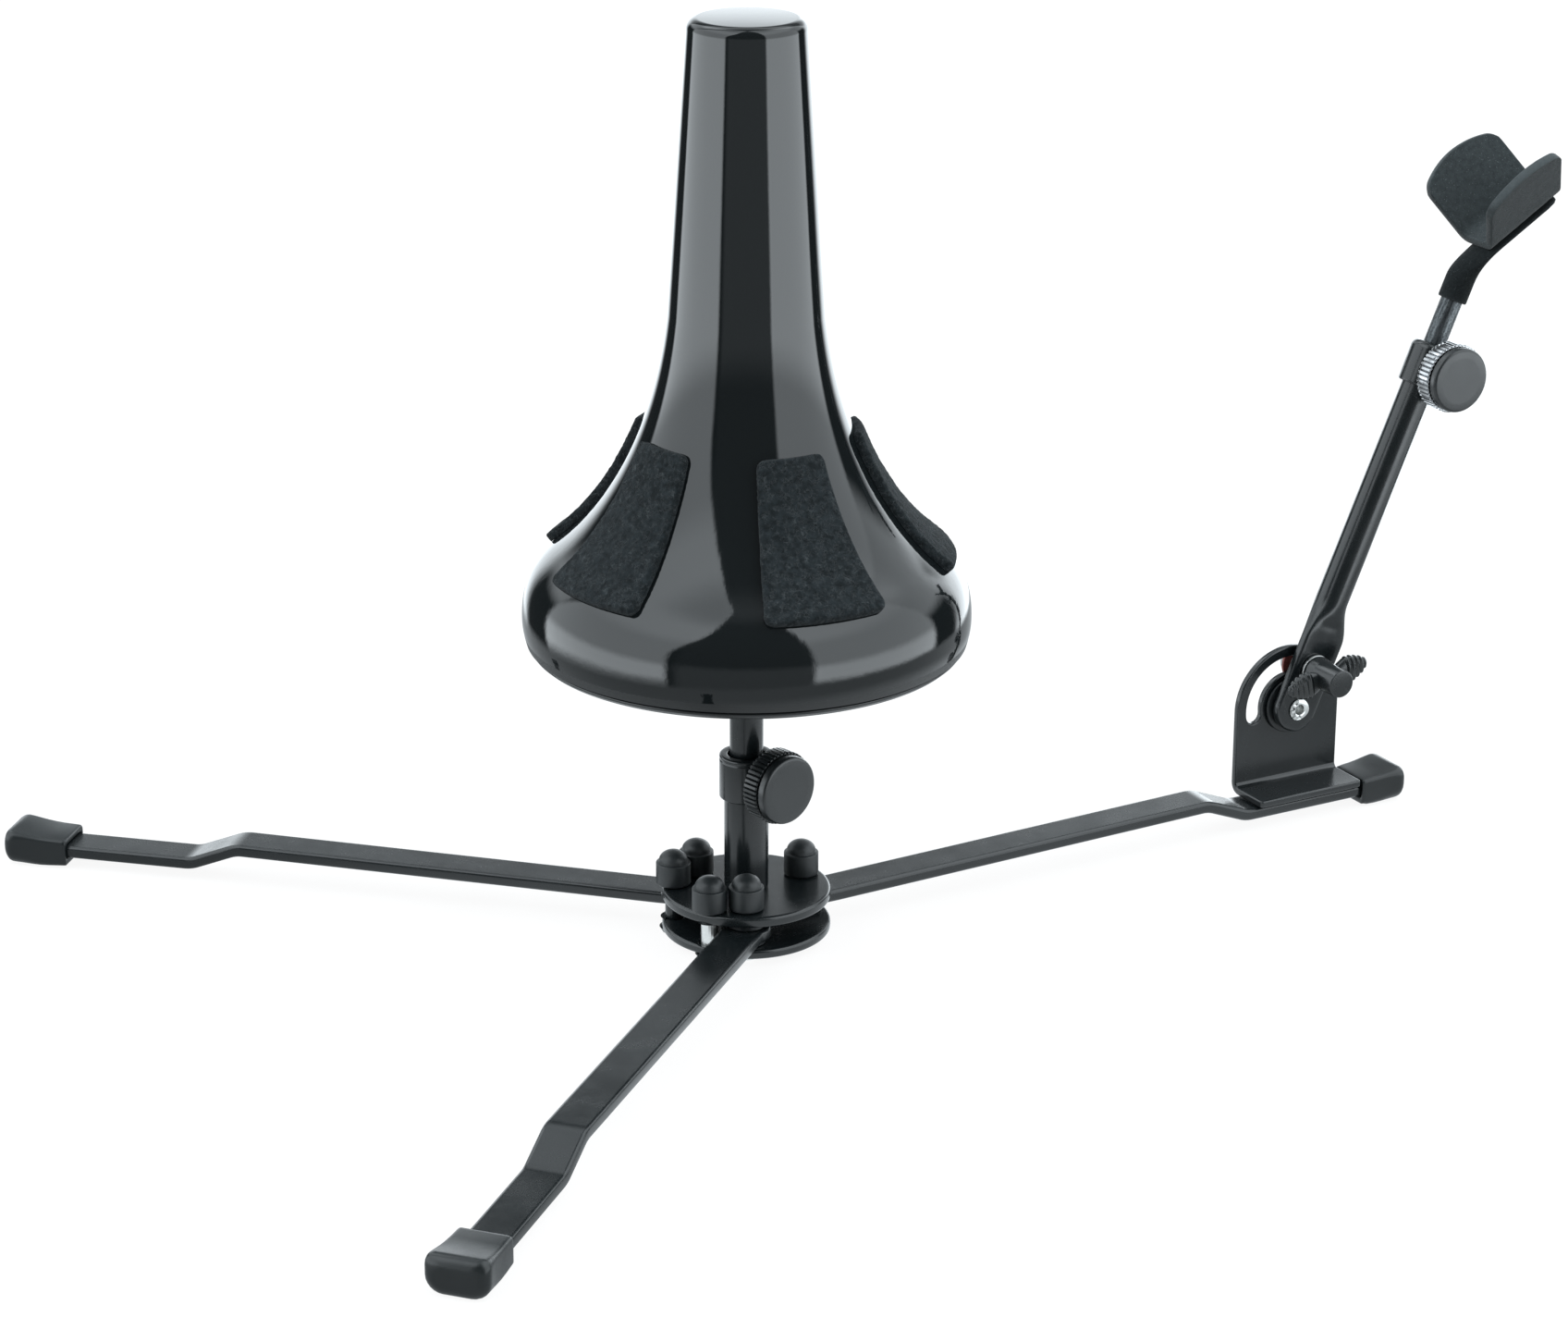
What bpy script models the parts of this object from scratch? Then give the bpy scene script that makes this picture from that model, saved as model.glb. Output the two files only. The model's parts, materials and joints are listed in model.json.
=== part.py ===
"""Folding trumpet stand: bell cone on a height-adjustable column, three flat legs, one support arm.

Metres, +Z up. X runs from the column along the leg that carries the support arm.
The stand rests on z = 0 and is centred on its own bounding box at the end of the script.
"""
import math

import bmesh
import bpy
import numpy as np
from mathutils import Euler, Matrix, Vector

MM = 0.001
GAP = 0.3 * MM                      # clearance kept between neighbouring solids

# Legs: flat bars, level at the hub, rising a little, then joggled down to the foot
LEG_WIDTH = 10.0 * MM
LEG_THICKNESS = 3.0 * MM
LEG_TOP_Z = 8.4 * MM                # top face of a leg inside the hub
LEG_RISE = 1.7 * MM                 # gained between the hub and the joggle
LEG_FOOT_TOP_Z = 5.5 * MM           # top face of a leg at the foot
LEG_LEVEL_END = 8.0 * MM            # distances from the leg's own bolt hole
LEG_JOGGLE_START = 115.0 * MM
LEG_JOGGLE_END = 126.7 * MM
LEG_END = 172.0 * MM
LEG_BEND_RADIUS = 9.0 * MM
LEG_EYE_RADIUS = 5.8 * MM
FOOT_START = 158.8 * MM
ARM_FOOT_START = 161.6 * MM         # the arm leg's foot stops short of the bracket
FOOT_MIDDLE = (166.0 * MM, 13.0 * MM, 0.0, 7.9 * MM)    # distance, width, bottom z, top z
FOOT_EDGE = (173.4 * MM, 14.2 * MM, 0.0, 8.8 * MM)
FOOT_END = (175.0 * MM, 12.4 * MM, 0.9 * MM, 7.9 * MM)
FOOT_INNER = (12.2 * MM, 0.6 * MM, 7.4 * MM)            # width, bottom z, top z

# Hub: two round plates with the legs between them
HUB_RADIUS = 20.0 * MM
HUB_TOP_Z = (9.8 * MM, 12.4 * MM)
HUB_BOTTOM_Z = (1.85 * MM, 4.15 * MM)
PIVOT_XY = (-6.8 * MM, 12.4 * MM)   # left leg; the right leg mirrors it
STOP_XY = (-14.8 * MM, 9.0 * MM)
ARM_LEG_BOLT_X = 14.9 * MM
OPEN_ANGLE = math.radians(138.0)    # of each folding leg from the arm leg
BOLT_RADIUS = 2.0 * MM
BOLT_HEAD_RADIUS = 3.4 * MM
BOLT_HEAD_Z = (0.4 * MM, 1.6 * MM)
BOLT_TOP_Z = 16.8 * MM
DOME_RADIUS = 4.15 * MM
DOME_SKIRT = 5.4 * MM
DOME_HEIGHT = 8.3 * MM
DOME_SPHERE_RADIUS = 3.5 * MM
WASHER_RADIUS = 4.6 * MM
LOWER_WASHER_Z = (4.4 * MM, 5.15 * MM)
UPPER_WASHER_Z = (8.65 * MM, 9.55 * MM)

# Column: 10 mm tube, 8 mm rod
TUBE_RADIUS = 5.1 * MM
TUBE_BORE = 4.25 * MM
TUBE_Z = (12.7 * MM, 43.4 * MM)
ROD_RADIUS = 3.95 * MM
ROD_Z = (30.0 * MM, 95.0 * MM)
PLUG_Z = (12.9 * MM, 16.6 * MM)
COLLAR_RADIUS = 6.15 * MM
COLLAR_Z = (35.2 * MM, 46.0 * MM)
COLUMN_KNOB_Z = 40.85 * MM
COLUMN_KNOB_AZIMUTH = math.radians(-76.8)

# Clamp knob, measured outwards from the axis of the tube that it clamps
BOSS_RADIUS = 3.4 * MM
BOSS_END = 8.0 * MM
CLAMP_SCREW_RADIUS = 1.9 * MM
KNOB_RING_RADIUS = 8.75 * MM
KNOB_RING_DEPTH = 0.45 * MM         # of the knurling
KNOB_TEETH = 40
KNOB_RING_START = 8.4 * MM
KNOB_RING_END = 12.7 * MM
KNOB_CAP_RADIUS = 8.2 * MM
KNOB_CAP_END = 15.2 * MM

# Bell cone
CONE_TOP_Z = 220.6 * MM
CONE_TOP_RADIUS = 13.75 * MM
CONE_TOP_EDGE = 2.4 * MM
CONE_NECK_Z = 153.0 * MM
CONE_NECK_RADIUS = 18.15 * MM
CONE_SHOULDER_Z = 96.7 * MM         # where the flare turns into the rounded shoulder
CONE_SHOULDER_RADIUS = 44.3 * MM
CONE_WIDEST_Z = 81.0 * MM
CONE_WIDEST_RADIUS = 52.1 * MM
CONE_RIM_Z = 75.4 * MM
CONE_RIM_RADIUS = 51.2 * MM
CONE_WALL = 2.0 * MM
COVER_Z = (73.2 * MM, 75.1 * MM)
COVER_RADIUS = 50.4 * MM
COVER_HUB_RADIUS = 9.0 * MM
COVER_HUB_TOP = 88.0 * MM
ROD_NUT_RADIUS = 7.0 * MM
ROD_NUT_HEIGHT = 5.0 * MM

# Felt pads on the flare
PAD_COUNT = 5
PAD_AZIMUTH = math.radians(-96.0)   # middle of the first pad
PAD_SPAN = math.radians(36.0)
PAD_THICKNESS = 2.1 * MM
PAD_Z = (94.2 * MM, 125.2 * MM)

# Support arm bracket on the arm leg
PIVOT_X = 160.4 * MM                # arm pivot, on the bracket's arched top
PIVOT_Z = 27.4 * MM
BRACKET_RADIUS = 15.6 * MM
BRACKET_FACE_Y = 5.5 * MM
BRACKET_THICKNESS = 1.8 * MM
FLANGE_FRONT_Y = -6.2 * MM
FLANGE_BOTTOM_Z = LEG_FOOT_TOP_Z + GAP
FLANGE_THICKNESS = 1.6 * MM
SLOT_RADIUS = 10.65 * MM
SLOT_HALF_WIDTH = 2.2 * MM
SLOT_ANGLES = (math.radians(62.0), math.radians(187.0))

# Support arm, in its own frame: x along the arm from the pivot, y across the bracket
ARM_ANGLE = math.radians(66.2)
ARM_TUBE_RADIUS = 4.0 * MM
ARM_TUBE_BORE = 3.1 * MM
ARM_TUBE_Y = 4.8 * MM
TONGUE_Y = (1.2 * MM, 4.2 * MM)
TONGUE_HALF_WIDTH = 6.1 * MM
TONGUE_END = 17.0 * MM
ARM_ROUND_START = 30.0 * MM
ARM_BORE_START = 31.0 * MM
ARM_TUBE_END = 94.5 * MM
ARM_COLLAR_RADIUS = 5.1 * MM
ARM_COLLAR_X = (87.0 * MM, 97.2 * MM)
ARM_KNOB_X = 92.0 * MM
ARM_KNOB_OFFSET = -0.4 * MM         # the arm's collar is slimmer, so its knob sits closer
ARM_ROD_RADIUS = 2.8 * MM
ARM_ROD_X = (44.0 * MM, 115.0 * MM)
FRICTION_DISC_Y = (4.45 * MM, 5.2 * MM)
FRICTION_DISC_RADIUS = 8.4 * MM
RIVET_RADIUS = 1.9 * MM
RIVET_BORE = 1.1 * MM
RIVET_FLANGE_RADIUS = 2.8 * MM
RIVET_FLANGE = 0.5 * MM
SLOT_BOLT_RADIUS = 1.9 * MM
SLOT_BOLT_HEAD_RADIUS = 4.3 * MM
SLOT_BOLT_Y = (-7.0 * MM, 11.0 * MM)
REAR_WASHER_Y = (7.6 * MM, 8.4 * MM)
REAR_WASHER_RADIUS = 5.6 * MM
FRONT_WASHER_Y = (0.1 * MM, 0.9 * MM)
FRONT_WASHER_RADIUS = 4.7 * MM
NUT_RADIUS = 3.6 * MM
NUT_Y = (-10.6 * MM, -0.2 * MM)
WING_Y = (-6.4 * MM, -2.6 * MM)
WING_SPAN = 24.4 * MM
WING_ROOT_WIDTH = 7.2 * MM
WING_TIP_RADIUS = 2.3 * MM
WING_ANGLE = math.radians(8.8)      # of the wings from the horizontal

# Cradle, in the arm's frame for the neck and in its own tilted frame for the saddle
NECK_RADIUS = 3.7 * MM
NECK_BORE = 3.1 * MM
NECK_START = 109.0 * MM
NECK_BEND = 115.5 * MM              # where the neck starts to bend over
SADDLE_START = (212.6 * MM, 141.4 * MM)     # x, z of the saddle's near end, bottom mid-plane
SADDLE_TILT = math.radians(31.0)
SADDLE_LENGTH = 23.0 * MM
SADDLE_THICKNESS = 2.2 * MM
SADDLE_HALF_BASE = 3.4 * MM
SADDLE_BEND = 4.0 * MM
SADDLE_FLARE = math.radians(30.0)
WING_SLANT = 15.6 * MM
WING_ARCH = 3.6 * MM
TAB_WIDTH = 8.4 * MM
TAB_THICKNESS = 2.4 * MM
TAB_ROUND_END = 3.0 * MM            # where the neck has become the flat tab

SEGMENTS = 24                       # around small round parts
CONE_SEGMENTS = 48


def clear_scene():
    """Remove every object that the scene starts with."""
    for obj in list(bpy.data.objects):
        bpy.data.objects.remove(obj, do_unlink=True)


def new_collection(name):
    """Add a collection to the scene."""
    collection = bpy.data.collections.new(name)
    bpy.context.scene.collection.children.link(collection)
    return collection


def make_material(name, color, roughness, metallic):
    """Principled material with one colour."""
    material = bpy.data.materials.new(name)
    material.use_nodes = True
    shader = material.node_tree.nodes["Principled BSDF"]
    shader.inputs["Base Color"].default_value = (*color, 1.0)
    shader.inputs["Roughness"].default_value = roughness
    shader.inputs["Metallic"].default_value = metallic
    return material


clear_scene()
STAND = new_collection("trumpet_stand")
CUTTERS = new_collection("cutters")

MATERIALS = {
    "black_steel": ((0.018, 0.019, 0.021), 0.38, 0.0),
    "gloss_plastic": ((0.010, 0.011, 0.012), 0.08, 0.0),
    "matte_plastic": ((0.022, 0.023, 0.025), 0.55, 0.0),
    "rubber": ((0.028, 0.030, 0.031), 0.65, 0.0),
    "felt": ((0.030, 0.032, 0.035), 0.95, 0.0),
    "flock": ((0.018, 0.019, 0.020), 0.9, 0.0),
    "zinc": ((0.62, 0.63, 0.64), 0.32, 1.0),
    "chrome": ((0.80, 0.81, 0.82), 0.10, 1.0),
    "fibre": ((0.32, 0.07, 0.05), 0.7, 0.0),
}


def add_empty(name, location=(0, 0, 0), rotation=(0, 0, 0), parent=None):
    """Empty that carries the pieces of one moving group."""
    empty = bpy.data.objects.new(name, None)
    empty.location = location
    empty.rotation_euler = rotation
    empty.parent = parent
    empty.empty_display_size = 5 * MM
    STAND.objects.link(empty)
    return empty


def finish(obj, material, parent, location=(0, 0, 0), rotation=(0, 0, 0)):
    """Give a piece its own material, its place and its smooth shading."""
    color, roughness, metallic = MATERIALS[material]
    obj.data.materials.clear()
    obj.data.materials.append(make_material(obj.name + "_" + material, color, roughness, metallic))
    obj.parent = parent
    obj.location = location
    obj.rotation_euler = rotation
    obj.data.shade_smooth()
    obj.data.set_sharp_from_angle(angle=math.radians(35))
    return obj


def mesh_object(name, collection=None):
    """Object with an empty mesh."""
    obj = bpy.data.objects.new(name, bpy.data.meshes.new(name))
    (collection or STAND).objects.link(obj)
    return obj


def as_cutter(obj):
    """Hide an object that only shapes another one."""
    obj.hide_render = True
    obj.display_type = "WIRE"
    return obj


def boolean(obj, tool, operation="DIFFERENCE"):
    """Boolean modifier with the exact solver."""
    modifier = obj.modifiers.new(operation.title() + "_" + tool.name, "BOOLEAN")
    modifier.operation = operation
    modifier.solver = "EXACT"
    modifier.object = tool
    return obj


def turned(name, profile, segments=SEGMENTS, closed=False, collection=None):
    """Solid of revolution about Z. The profile (radius, z) runs down its outer side."""
    obj = mesh_object(name, collection)
    bm = bmesh.new()
    verts = [bm.verts.new((radius, 0, z)) for radius, z in profile]
    for first, second in zip(verts, verts[1:]):
        bm.edges.new((first, second))
    if closed:
        bm.edges.new((verts[-1], verts[0]))
    bm.to_mesh(obj.data)
    bm.free()
    screw = obj.modifiers.new("Turn", "SCREW")
    screw.steps = segments
    screw.render_steps = segments
    screw.use_merge_vertices = True
    screw.merge_threshold = 0.00001
    return obj


def rod(name, radius, bottom, top, segments=SEGMENTS, collection=None):
    """Plain solid cylinder between two heights."""
    profile = [(0, top), (radius, top), (radius, bottom), (0, bottom)]
    return turned(name, profile, segments, collection=collection)


def ring(name, outer, inner, bottom, top, segments=SEGMENTS):
    """Plain tube or washer between two heights."""
    profile = [(outer, top), (outer, bottom), (inner, bottom), (inner, top)]
    return turned(name, profile, segments, closed=True)


def hole(name, radius, bottom, top, parent=None, location=(0, 0, 0), rotation=(0, 0, 0)):
    """Cylindrical cutter."""
    cutter = as_cutter(rod(name, radius, bottom, top, 24, CUTTERS))
    cutter.parent = parent
    cutter.location = location
    cutter.rotation_euler = rotation
    return cutter


def fillet_path(points, radius, steps=3):
    """Round the inner corners of a path of 2D points with arcs."""
    path = [Vector(points[0])]
    for before, corner, after in zip(points, points[1:], points[2:]):
        corner = Vector(corner)
        back = (Vector(before) - corner).normalized()
        ahead = (Vector(after) - corner).normalized()
        half = back.angle(ahead) / 2
        reach = min(radius / math.tan(half), (Vector(before) - corner).length / 2)
        for step in range(steps + 1):
            share = step / steps
            start = corner + back * reach
            end = corner + ahead * reach
            path.append(start.lerp(corner, share).lerp(corner.lerp(end, share), share))
    path.append(Vector(points[-1]))
    return path


def strip_outline(path, thickness):
    """Closed outline of a sheet of even thickness whose middle follows a path."""
    sides = ([], [])
    for index, point in enumerate(path):
        before = path[max(index - 1, 0)]
        after = path[min(index + 1, len(path) - 1)]
        along = (after - before).normalized()
        normal = Vector((-along.y, along.x))
        sides[0].append(point + normal * thickness / 2)
        sides[1].append(point - normal * thickness / 2)
    return sides[0] + sides[1][::-1]


def extruded(name, outline, half_depth, collection=None):
    """Mesh prism from a closed 2D outline in XY, extruded both ways along Z."""
    curve = bpy.data.curves.new(name, "CURVE")
    curve.dimensions = "2D"
    curve.fill_mode = "BOTH"
    curve.extrude = half_depth
    spline = curve.splines.new("POLY")
    spline.points.add(len(outline) - 1)
    for point, (x, y) in zip(spline.points, outline):
        point.co = (x, y, 0, 1)
    spline.use_cyclic_u = True
    return mesh_from_curve(name, curve, collection)


def mesh_from_curve(name, curve, collection):
    """Turn a curve into a closed mesh object and drop the curve."""
    source = bpy.data.objects.new(name + "_curve", curve)
    STAND.objects.link(source)
    evaluated = source.evaluated_get(bpy.context.evaluated_depsgraph_get())
    mesh = bpy.data.meshes.new_from_object(evaluated)
    bm = bmesh.new()
    bm.from_mesh(mesh)
    bmesh.ops.remove_doubles(bm, verts=bm.verts, dist=0.00001)
    bmesh.ops.recalc_face_normals(bm, faces=bm.faces)
    bm.to_mesh(mesh)
    bm.free()
    obj = bpy.data.objects.new(name, mesh)
    obj.matrix_world = source.matrix_world
    (collection or STAND).objects.link(obj)
    bpy.data.objects.remove(source, do_unlink=True)
    return obj


def loft(name, sections, collection=None):
    """Closed solid through a list of rings of 3D points, all with the same number of points."""
    obj = mesh_object(name, collection)
    bm = bmesh.new()
    rings = [[bm.verts.new(point) for point in section] for section in sections]
    count = len(rings[0])
    for first, second in zip(rings, rings[1:]):
        for i in range(count):
            j = (i + 1) % count
            bm.faces.new((first[i], first[j], second[j], second[i]))
    bm.faces.new(rings[0][::-1])
    bm.faces.new(rings[-1])
    bmesh.ops.recalc_face_normals(bm, faces=bm.faces)
    bm.to_mesh(obj.data)
    bm.free()
    return obj


def arc(center, radius, start, end, steps):
    """Points on an arc, from one angle to another."""
    angles = np.linspace(start, end, steps + 1)
    return [(center[0] + radius * math.cos(a), center[1] + radius * math.sin(a)) for a in angles]


def bezier(points, steps):
    """Points on a cubic Bezier curve, without its first point."""
    p0, p1, p2, p3 = (Vector(point) for point in points)
    shares = [step / steps for step in range(1, steps + 1)]
    return [tuple(p0 * (1 - t) ** 3 + p1 * 3 * t * (1 - t) ** 2 + p2 * 3 * t * t * (1 - t) + p3 * t ** 3)
            for t in shares]


# ---------------------------------------------------------------- hub and legs

def leg_bar(name, eye):
    """Flat bar with its joggle, in the leg's own frame: x along the leg from the bolt hole."""
    level = LEG_TOP_Z - LEG_THICKNESS / 2
    foot_z = LEG_FOOT_TOP_Z - LEG_THICKNESS / 2
    turns = np.radians((168, 150, 130, 110, 90, 70, 54))
    path = [Vector((eye + LEG_EYE_RADIUS * math.cos(a), level)) for a in turns]
    path += fillet_path([
        (LEG_LEVEL_END, level),
        (LEG_JOGGLE_START, level + LEG_RISE),
        (LEG_JOGGLE_END, foot_z),
        (LEG_END, foot_z),
    ], LEG_BEND_RADIUS)
    outline = strip_outline(path, LEG_THICKNESS)
    sections = []
    for index, point in enumerate(path):
        left, right = outline[index], outline[-1 - index]
        half = LEG_WIDTH / 2
        if index < len(turns):
            half = LEG_EYE_RADIUS * math.sin(turns[index])
        sections.append([(left.x, half, left.y), (left.x, -half, left.y),
                         (right.x, -half, right.y), (right.x, half, right.y)])
    return loft(name, sections)


def drill(bar, parent, location, rotation, x, radius):
    """Bolt hole through a leg."""
    bore = hole(bar.name + "_bore_%d" % abs(x / MM), radius, -5 * MM, 15 * MM, parent)
    bore.location = Vector(location) + Euler(rotation).to_matrix() @ Vector((x, 0, 0))
    boolean(bar, bore)


def foot_section(x, width, bottom, top, corner=1.3 * MM):
    """Rounded rectangle across the leg."""
    half = width / 2 - corner
    corners = ((half, top - corner, 0), (-half, top - corner, 1),
               (-half, bottom + corner, 2), (half, bottom + corner, 3))
    points = []
    for y, z, quarter in corners:
        start = quarter * math.pi / 2
        points += arc((y, z), corner, start, start + math.pi / 2, 2)
    return [(x, y, z) for y, z in points]


def rubber_foot(name, parent, location, start=FOOT_START):
    """Flared rubber end cap with a pocket for the leg's end."""
    sections = [foot_section(start, *FOOT_INNER), foot_section(*FOOT_MIDDLE),
                foot_section(*FOOT_EDGE), foot_section(*FOOT_END)]
    foot = loft(name, sections)
    top = LEG_FOOT_TOP_Z + GAP
    bottom = LEG_FOOT_TOP_Z - LEG_THICKNESS - GAP
    pocket = as_cutter(extruded(name + "_pocket", [
        (start - 2 * MM, top), (LEG_END + GAP, top), (LEG_END + GAP, bottom), (start - 2 * MM, bottom)],
        LEG_WIDTH / 2 + GAP, CUTTERS))
    pocket.data.transform(Matrix.Rotation(math.pi / 2, 4, "X"))
    pocket.parent = parent
    pocket.location = location
    boolean(foot, pocket)
    return finish(foot, "rubber", parent, location)


def hub_bolt(name, x, y, root):
    """Bolt through the hub from below."""
    profile = [(0, BOLT_TOP_Z), (BOLT_RADIUS, BOLT_TOP_Z), (BOLT_RADIUS, BOLT_HEAD_Z[1]),
               (BOLT_HEAD_RADIUS, BOLT_HEAD_Z[1]), (BOLT_HEAD_RADIUS * 0.8, BOLT_HEAD_Z[0]),
               (0, BOLT_HEAD_Z[0])]
    finish(turned(name, profile, 20), "zinc", root, (x, y, 0))


def dome_cap(name, x, y, root):
    """Domed cap nut that closes a bolt's upper end."""
    bottom = HUB_TOP_Z[1] + GAP
    skirt = bottom + DOME_SKIRT
    top = bottom + DOME_HEIGHT
    rise = top - skirt - 0.3 * MM
    bore = BOLT_RADIUS + GAP
    bore_top = BOLT_TOP_Z + GAP
    dome = [(DOME_SPHERE_RADIUS * math.cos(a), skirt + 0.3 * MM + rise * math.sin(a))
            for a in np.linspace(math.pi / 2, 0, 6)]
    dome[0] = (0, top)
    profile = dome + [(DOME_RADIUS, skirt), (DOME_RADIUS, bottom), (bore, bottom), (bore, bore_top),
                      (0, bore_top)]
    finish(turned(name, profile), "black_steel", root, (x, y, 0))


def pivot_washer(name, heights, x, y, root):
    """Thin plastic washer between a leg and a hub plate."""
    washer = ring(name, WASHER_RADIUS, BOLT_RADIUS + GAP, *heights, 24)
    finish(washer, "matte_plastic", root, (x, y, 0))


def build_hub(root):
    """Plates, bolts, washers and the fixed leg."""
    bolts = {
        "arm_leg": (ARM_LEG_BOLT_X, 0),
        "left_pivot": PIVOT_XY,
        "right_pivot": (PIVOT_XY[0], -PIVOT_XY[1]),
        "left_stop": STOP_XY,
        "right_stop": (STOP_XY[0], -STOP_XY[1]),
    }
    plates = [rod("hub_top_plate", HUB_RADIUS, *HUB_TOP_Z, 48),
              rod("hub_bottom_plate", HUB_RADIUS, *HUB_BOTTOM_Z, 48)]
    for label, (x, y) in bolts.items():
        cutter = hole(label + "_hole", BOLT_RADIUS + GAP, -5 * MM, 20 * MM, root, (x, y, 0))
        for plate in plates:
            boolean(plate, cutter)
        hub_bolt(label + "_bolt", x, y, root)
        dome_cap(label + "_cap_nut", x, y, root)
        if "stop" not in label:
            pivot_washer(label + "_lower_washer", LOWER_WASHER_Z, x, y, root)
            pivot_washer(label + "_upper_washer", UPPER_WASHER_Z, x, y, root)
    center = hole("hub_center_hole", 2.8 * MM, -5 * MM, 20 * MM, root)
    for plate in plates:
        boolean(plate, center)
        finish(plate, "black_steel", root)

    place = (ARM_LEG_BOLT_X, 0, 0)
    arm_leg = leg_bar("arm_leg", -ARM_LEG_BOLT_X)
    drill(arm_leg, root, place, (0, 0, 0), 0, BOLT_RADIUS + GAP)
    drill(arm_leg, root, place, (0, 0, 0), -ARM_LEG_BOLT_X, 2.8 * MM)
    finish(arm_leg, "black_steel", root, place)
    rubber_foot("arm_leg_foot", root, place, ARM_FOOT_START)


def build_folding_leg(side, sign, root):
    """One folding leg with its foot, on an empty at its pivot bolt."""
    pivot = add_empty(side + "_leg_hinge", (PIVOT_XY[0], sign * PIVOT_XY[1], 0),
                      (0, 0, sign * OPEN_ANGLE), root)
    leg = leg_bar(side + "_leg", 0)
    drill(leg, pivot, (0, 0, 0), (0, 0, 0), 0, BOLT_RADIUS + GAP)
    finish(leg, "black_steel", pivot)
    rubber_foot(side + "_leg_foot", pivot, (0, 0, 0))


# ---------------------------------------------------------------- clamps

def knurled_outline(radius, depth, teeth):
    """Star outline with flat-topped teeth."""
    outline = []
    for index in range(teeth * 4):
        angle = 2 * math.pi * index / (teeth * 4)
        reach = radius if index % 4 in (0, 1) else radius - depth
        outline.append((reach * math.cos(angle), reach * math.sin(angle)))
    return outline


def clamp_knob(prefix, parent, tip, ring_material):
    """Knob with its screw, on an empty whose +Z points out of the clamp."""
    screw = rod(prefix + "_clamp_screw", CLAMP_SCREW_RADIUS, tip, KNOB_RING_START - GAP, 16)
    finish(screw, "zinc", parent)
    depth = (KNOB_RING_END - KNOB_RING_START) / 2
    outline = knurled_outline(KNOB_RING_RADIUS, KNOB_RING_DEPTH, KNOB_TEETH)
    knurl = extruded(prefix + "_knob_ring", outline, depth)
    finish(knurl, ring_material, parent, (0, 0, KNOB_RING_START + depth))
    bottom = KNOB_RING_END + GAP
    edge = 0.7 * MM
    profile = [(0, KNOB_CAP_END), (KNOB_CAP_RADIUS - edge, KNOB_CAP_END),
               (KNOB_CAP_RADIUS, KNOB_CAP_END - edge), (KNOB_CAP_RADIUS, bottom), (0, bottom)]
    finish(turned(prefix + "_knob_cap", profile, 36), "matte_plastic", parent)


# ---------------------------------------------------------------- column and cone

def build_column(root):
    """Tube on the hub with its clamp collar and knob."""
    screw = turned("column_screw", [
        (0, 16.0 * MM), (2.5 * MM, 16.0 * MM), (2.5 * MM, BOLT_HEAD_Z[1]), (4.6 * MM, BOLT_HEAD_Z[1]),
        (3.8 * MM, BOLT_HEAD_Z[0]), (0, BOLT_HEAD_Z[0])], 24)
    finish(screw, "zinc", root)
    plug = turned("column_plug", [
        (TUBE_BORE - GAP, PLUG_Z[1]), (TUBE_BORE - GAP, PLUG_Z[0]), (2.8 * MM, PLUG_Z[0]),
        (2.8 * MM, PLUG_Z[1])], 24, closed=True)
    finish(plug, "zinc", root)

    out = (math.pi / 2, 0, COLUMN_KNOB_AZIMUTH + math.pi / 2)
    axis = add_empty("column_knob_axis", (0, 0, COLUMN_KNOB_Z), out, root)
    tube = ring("column_tube", TUBE_RADIUS, TUBE_BORE, *TUBE_Z, 32)
    collar = ring("column_collar", COLLAR_RADIUS, TUBE_RADIUS + GAP, *COLLAR_Z, 32)
    add_clamp_boss(collar, tube, axis, COLLAR_RADIUS, BOSS_END)
    finish(tube, "black_steel", root)
    finish(collar, "black_steel", root)
    clamp_knob("column", axis, ROD_RADIUS + GAP, "matte_plastic")


def add_clamp_boss(collar, tube, axis, outer, boss_end):
    """Boss on the collar, and the screw's hole through collar and tube."""
    boss = as_cutter(rod(collar.name + "_boss", BOSS_RADIUS, outer - 0.8 * MM, boss_end, 20, CUTTERS))
    boss.parent = axis
    boolean(collar, boss, "UNION")
    bore = hole(collar.name + "_screw_hole", CLAMP_SCREW_RADIUS + GAP, 2 * MM, boss_end + 2 * MM, axis)
    boolean(collar, bore)
    boolean(tube, bore)


def cone_flare():
    """Outer profile of the cone from the neck down to the rim, as (radius, z)."""
    slope_z = CONE_NECK_Z - CONE_SHOULDER_Z
    flare = bezier([
        (CONE_NECK_RADIUS, CONE_NECK_Z),
        (CONE_NECK_RADIUS + 0.055 * slope_z, CONE_NECK_Z - 0.52 * slope_z),
        (CONE_SHOULDER_RADIUS - 11.0 * MM, CONE_SHOULDER_Z + 9.0 * MM),
        (CONE_SHOULDER_RADIUS, CONE_SHOULDER_Z),
    ], 16)
    shoulder = bezier([
        (CONE_SHOULDER_RADIUS, CONE_SHOULDER_Z),
        (CONE_SHOULDER_RADIUS + 5.6 * MM, CONE_SHOULDER_Z - 4.6 * MM),
        (CONE_WIDEST_RADIUS, CONE_WIDEST_Z + 7.0 * MM),
        (CONE_WIDEST_RADIUS, CONE_WIDEST_Z),
    ], 7)
    rim = bezier([
        (CONE_WIDEST_RADIUS, CONE_WIDEST_Z),
        (CONE_WIDEST_RADIUS, CONE_WIDEST_Z - 2.5 * MM),
        (CONE_RIM_RADIUS + 0.4 * MM, CONE_RIM_Z + 1.5 * MM),
        (CONE_RIM_RADIUS, CONE_RIM_Z),
    ], 3)
    return [(CONE_NECK_RADIUS, CONE_NECK_Z)] + flare + shoulder + rim


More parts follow.
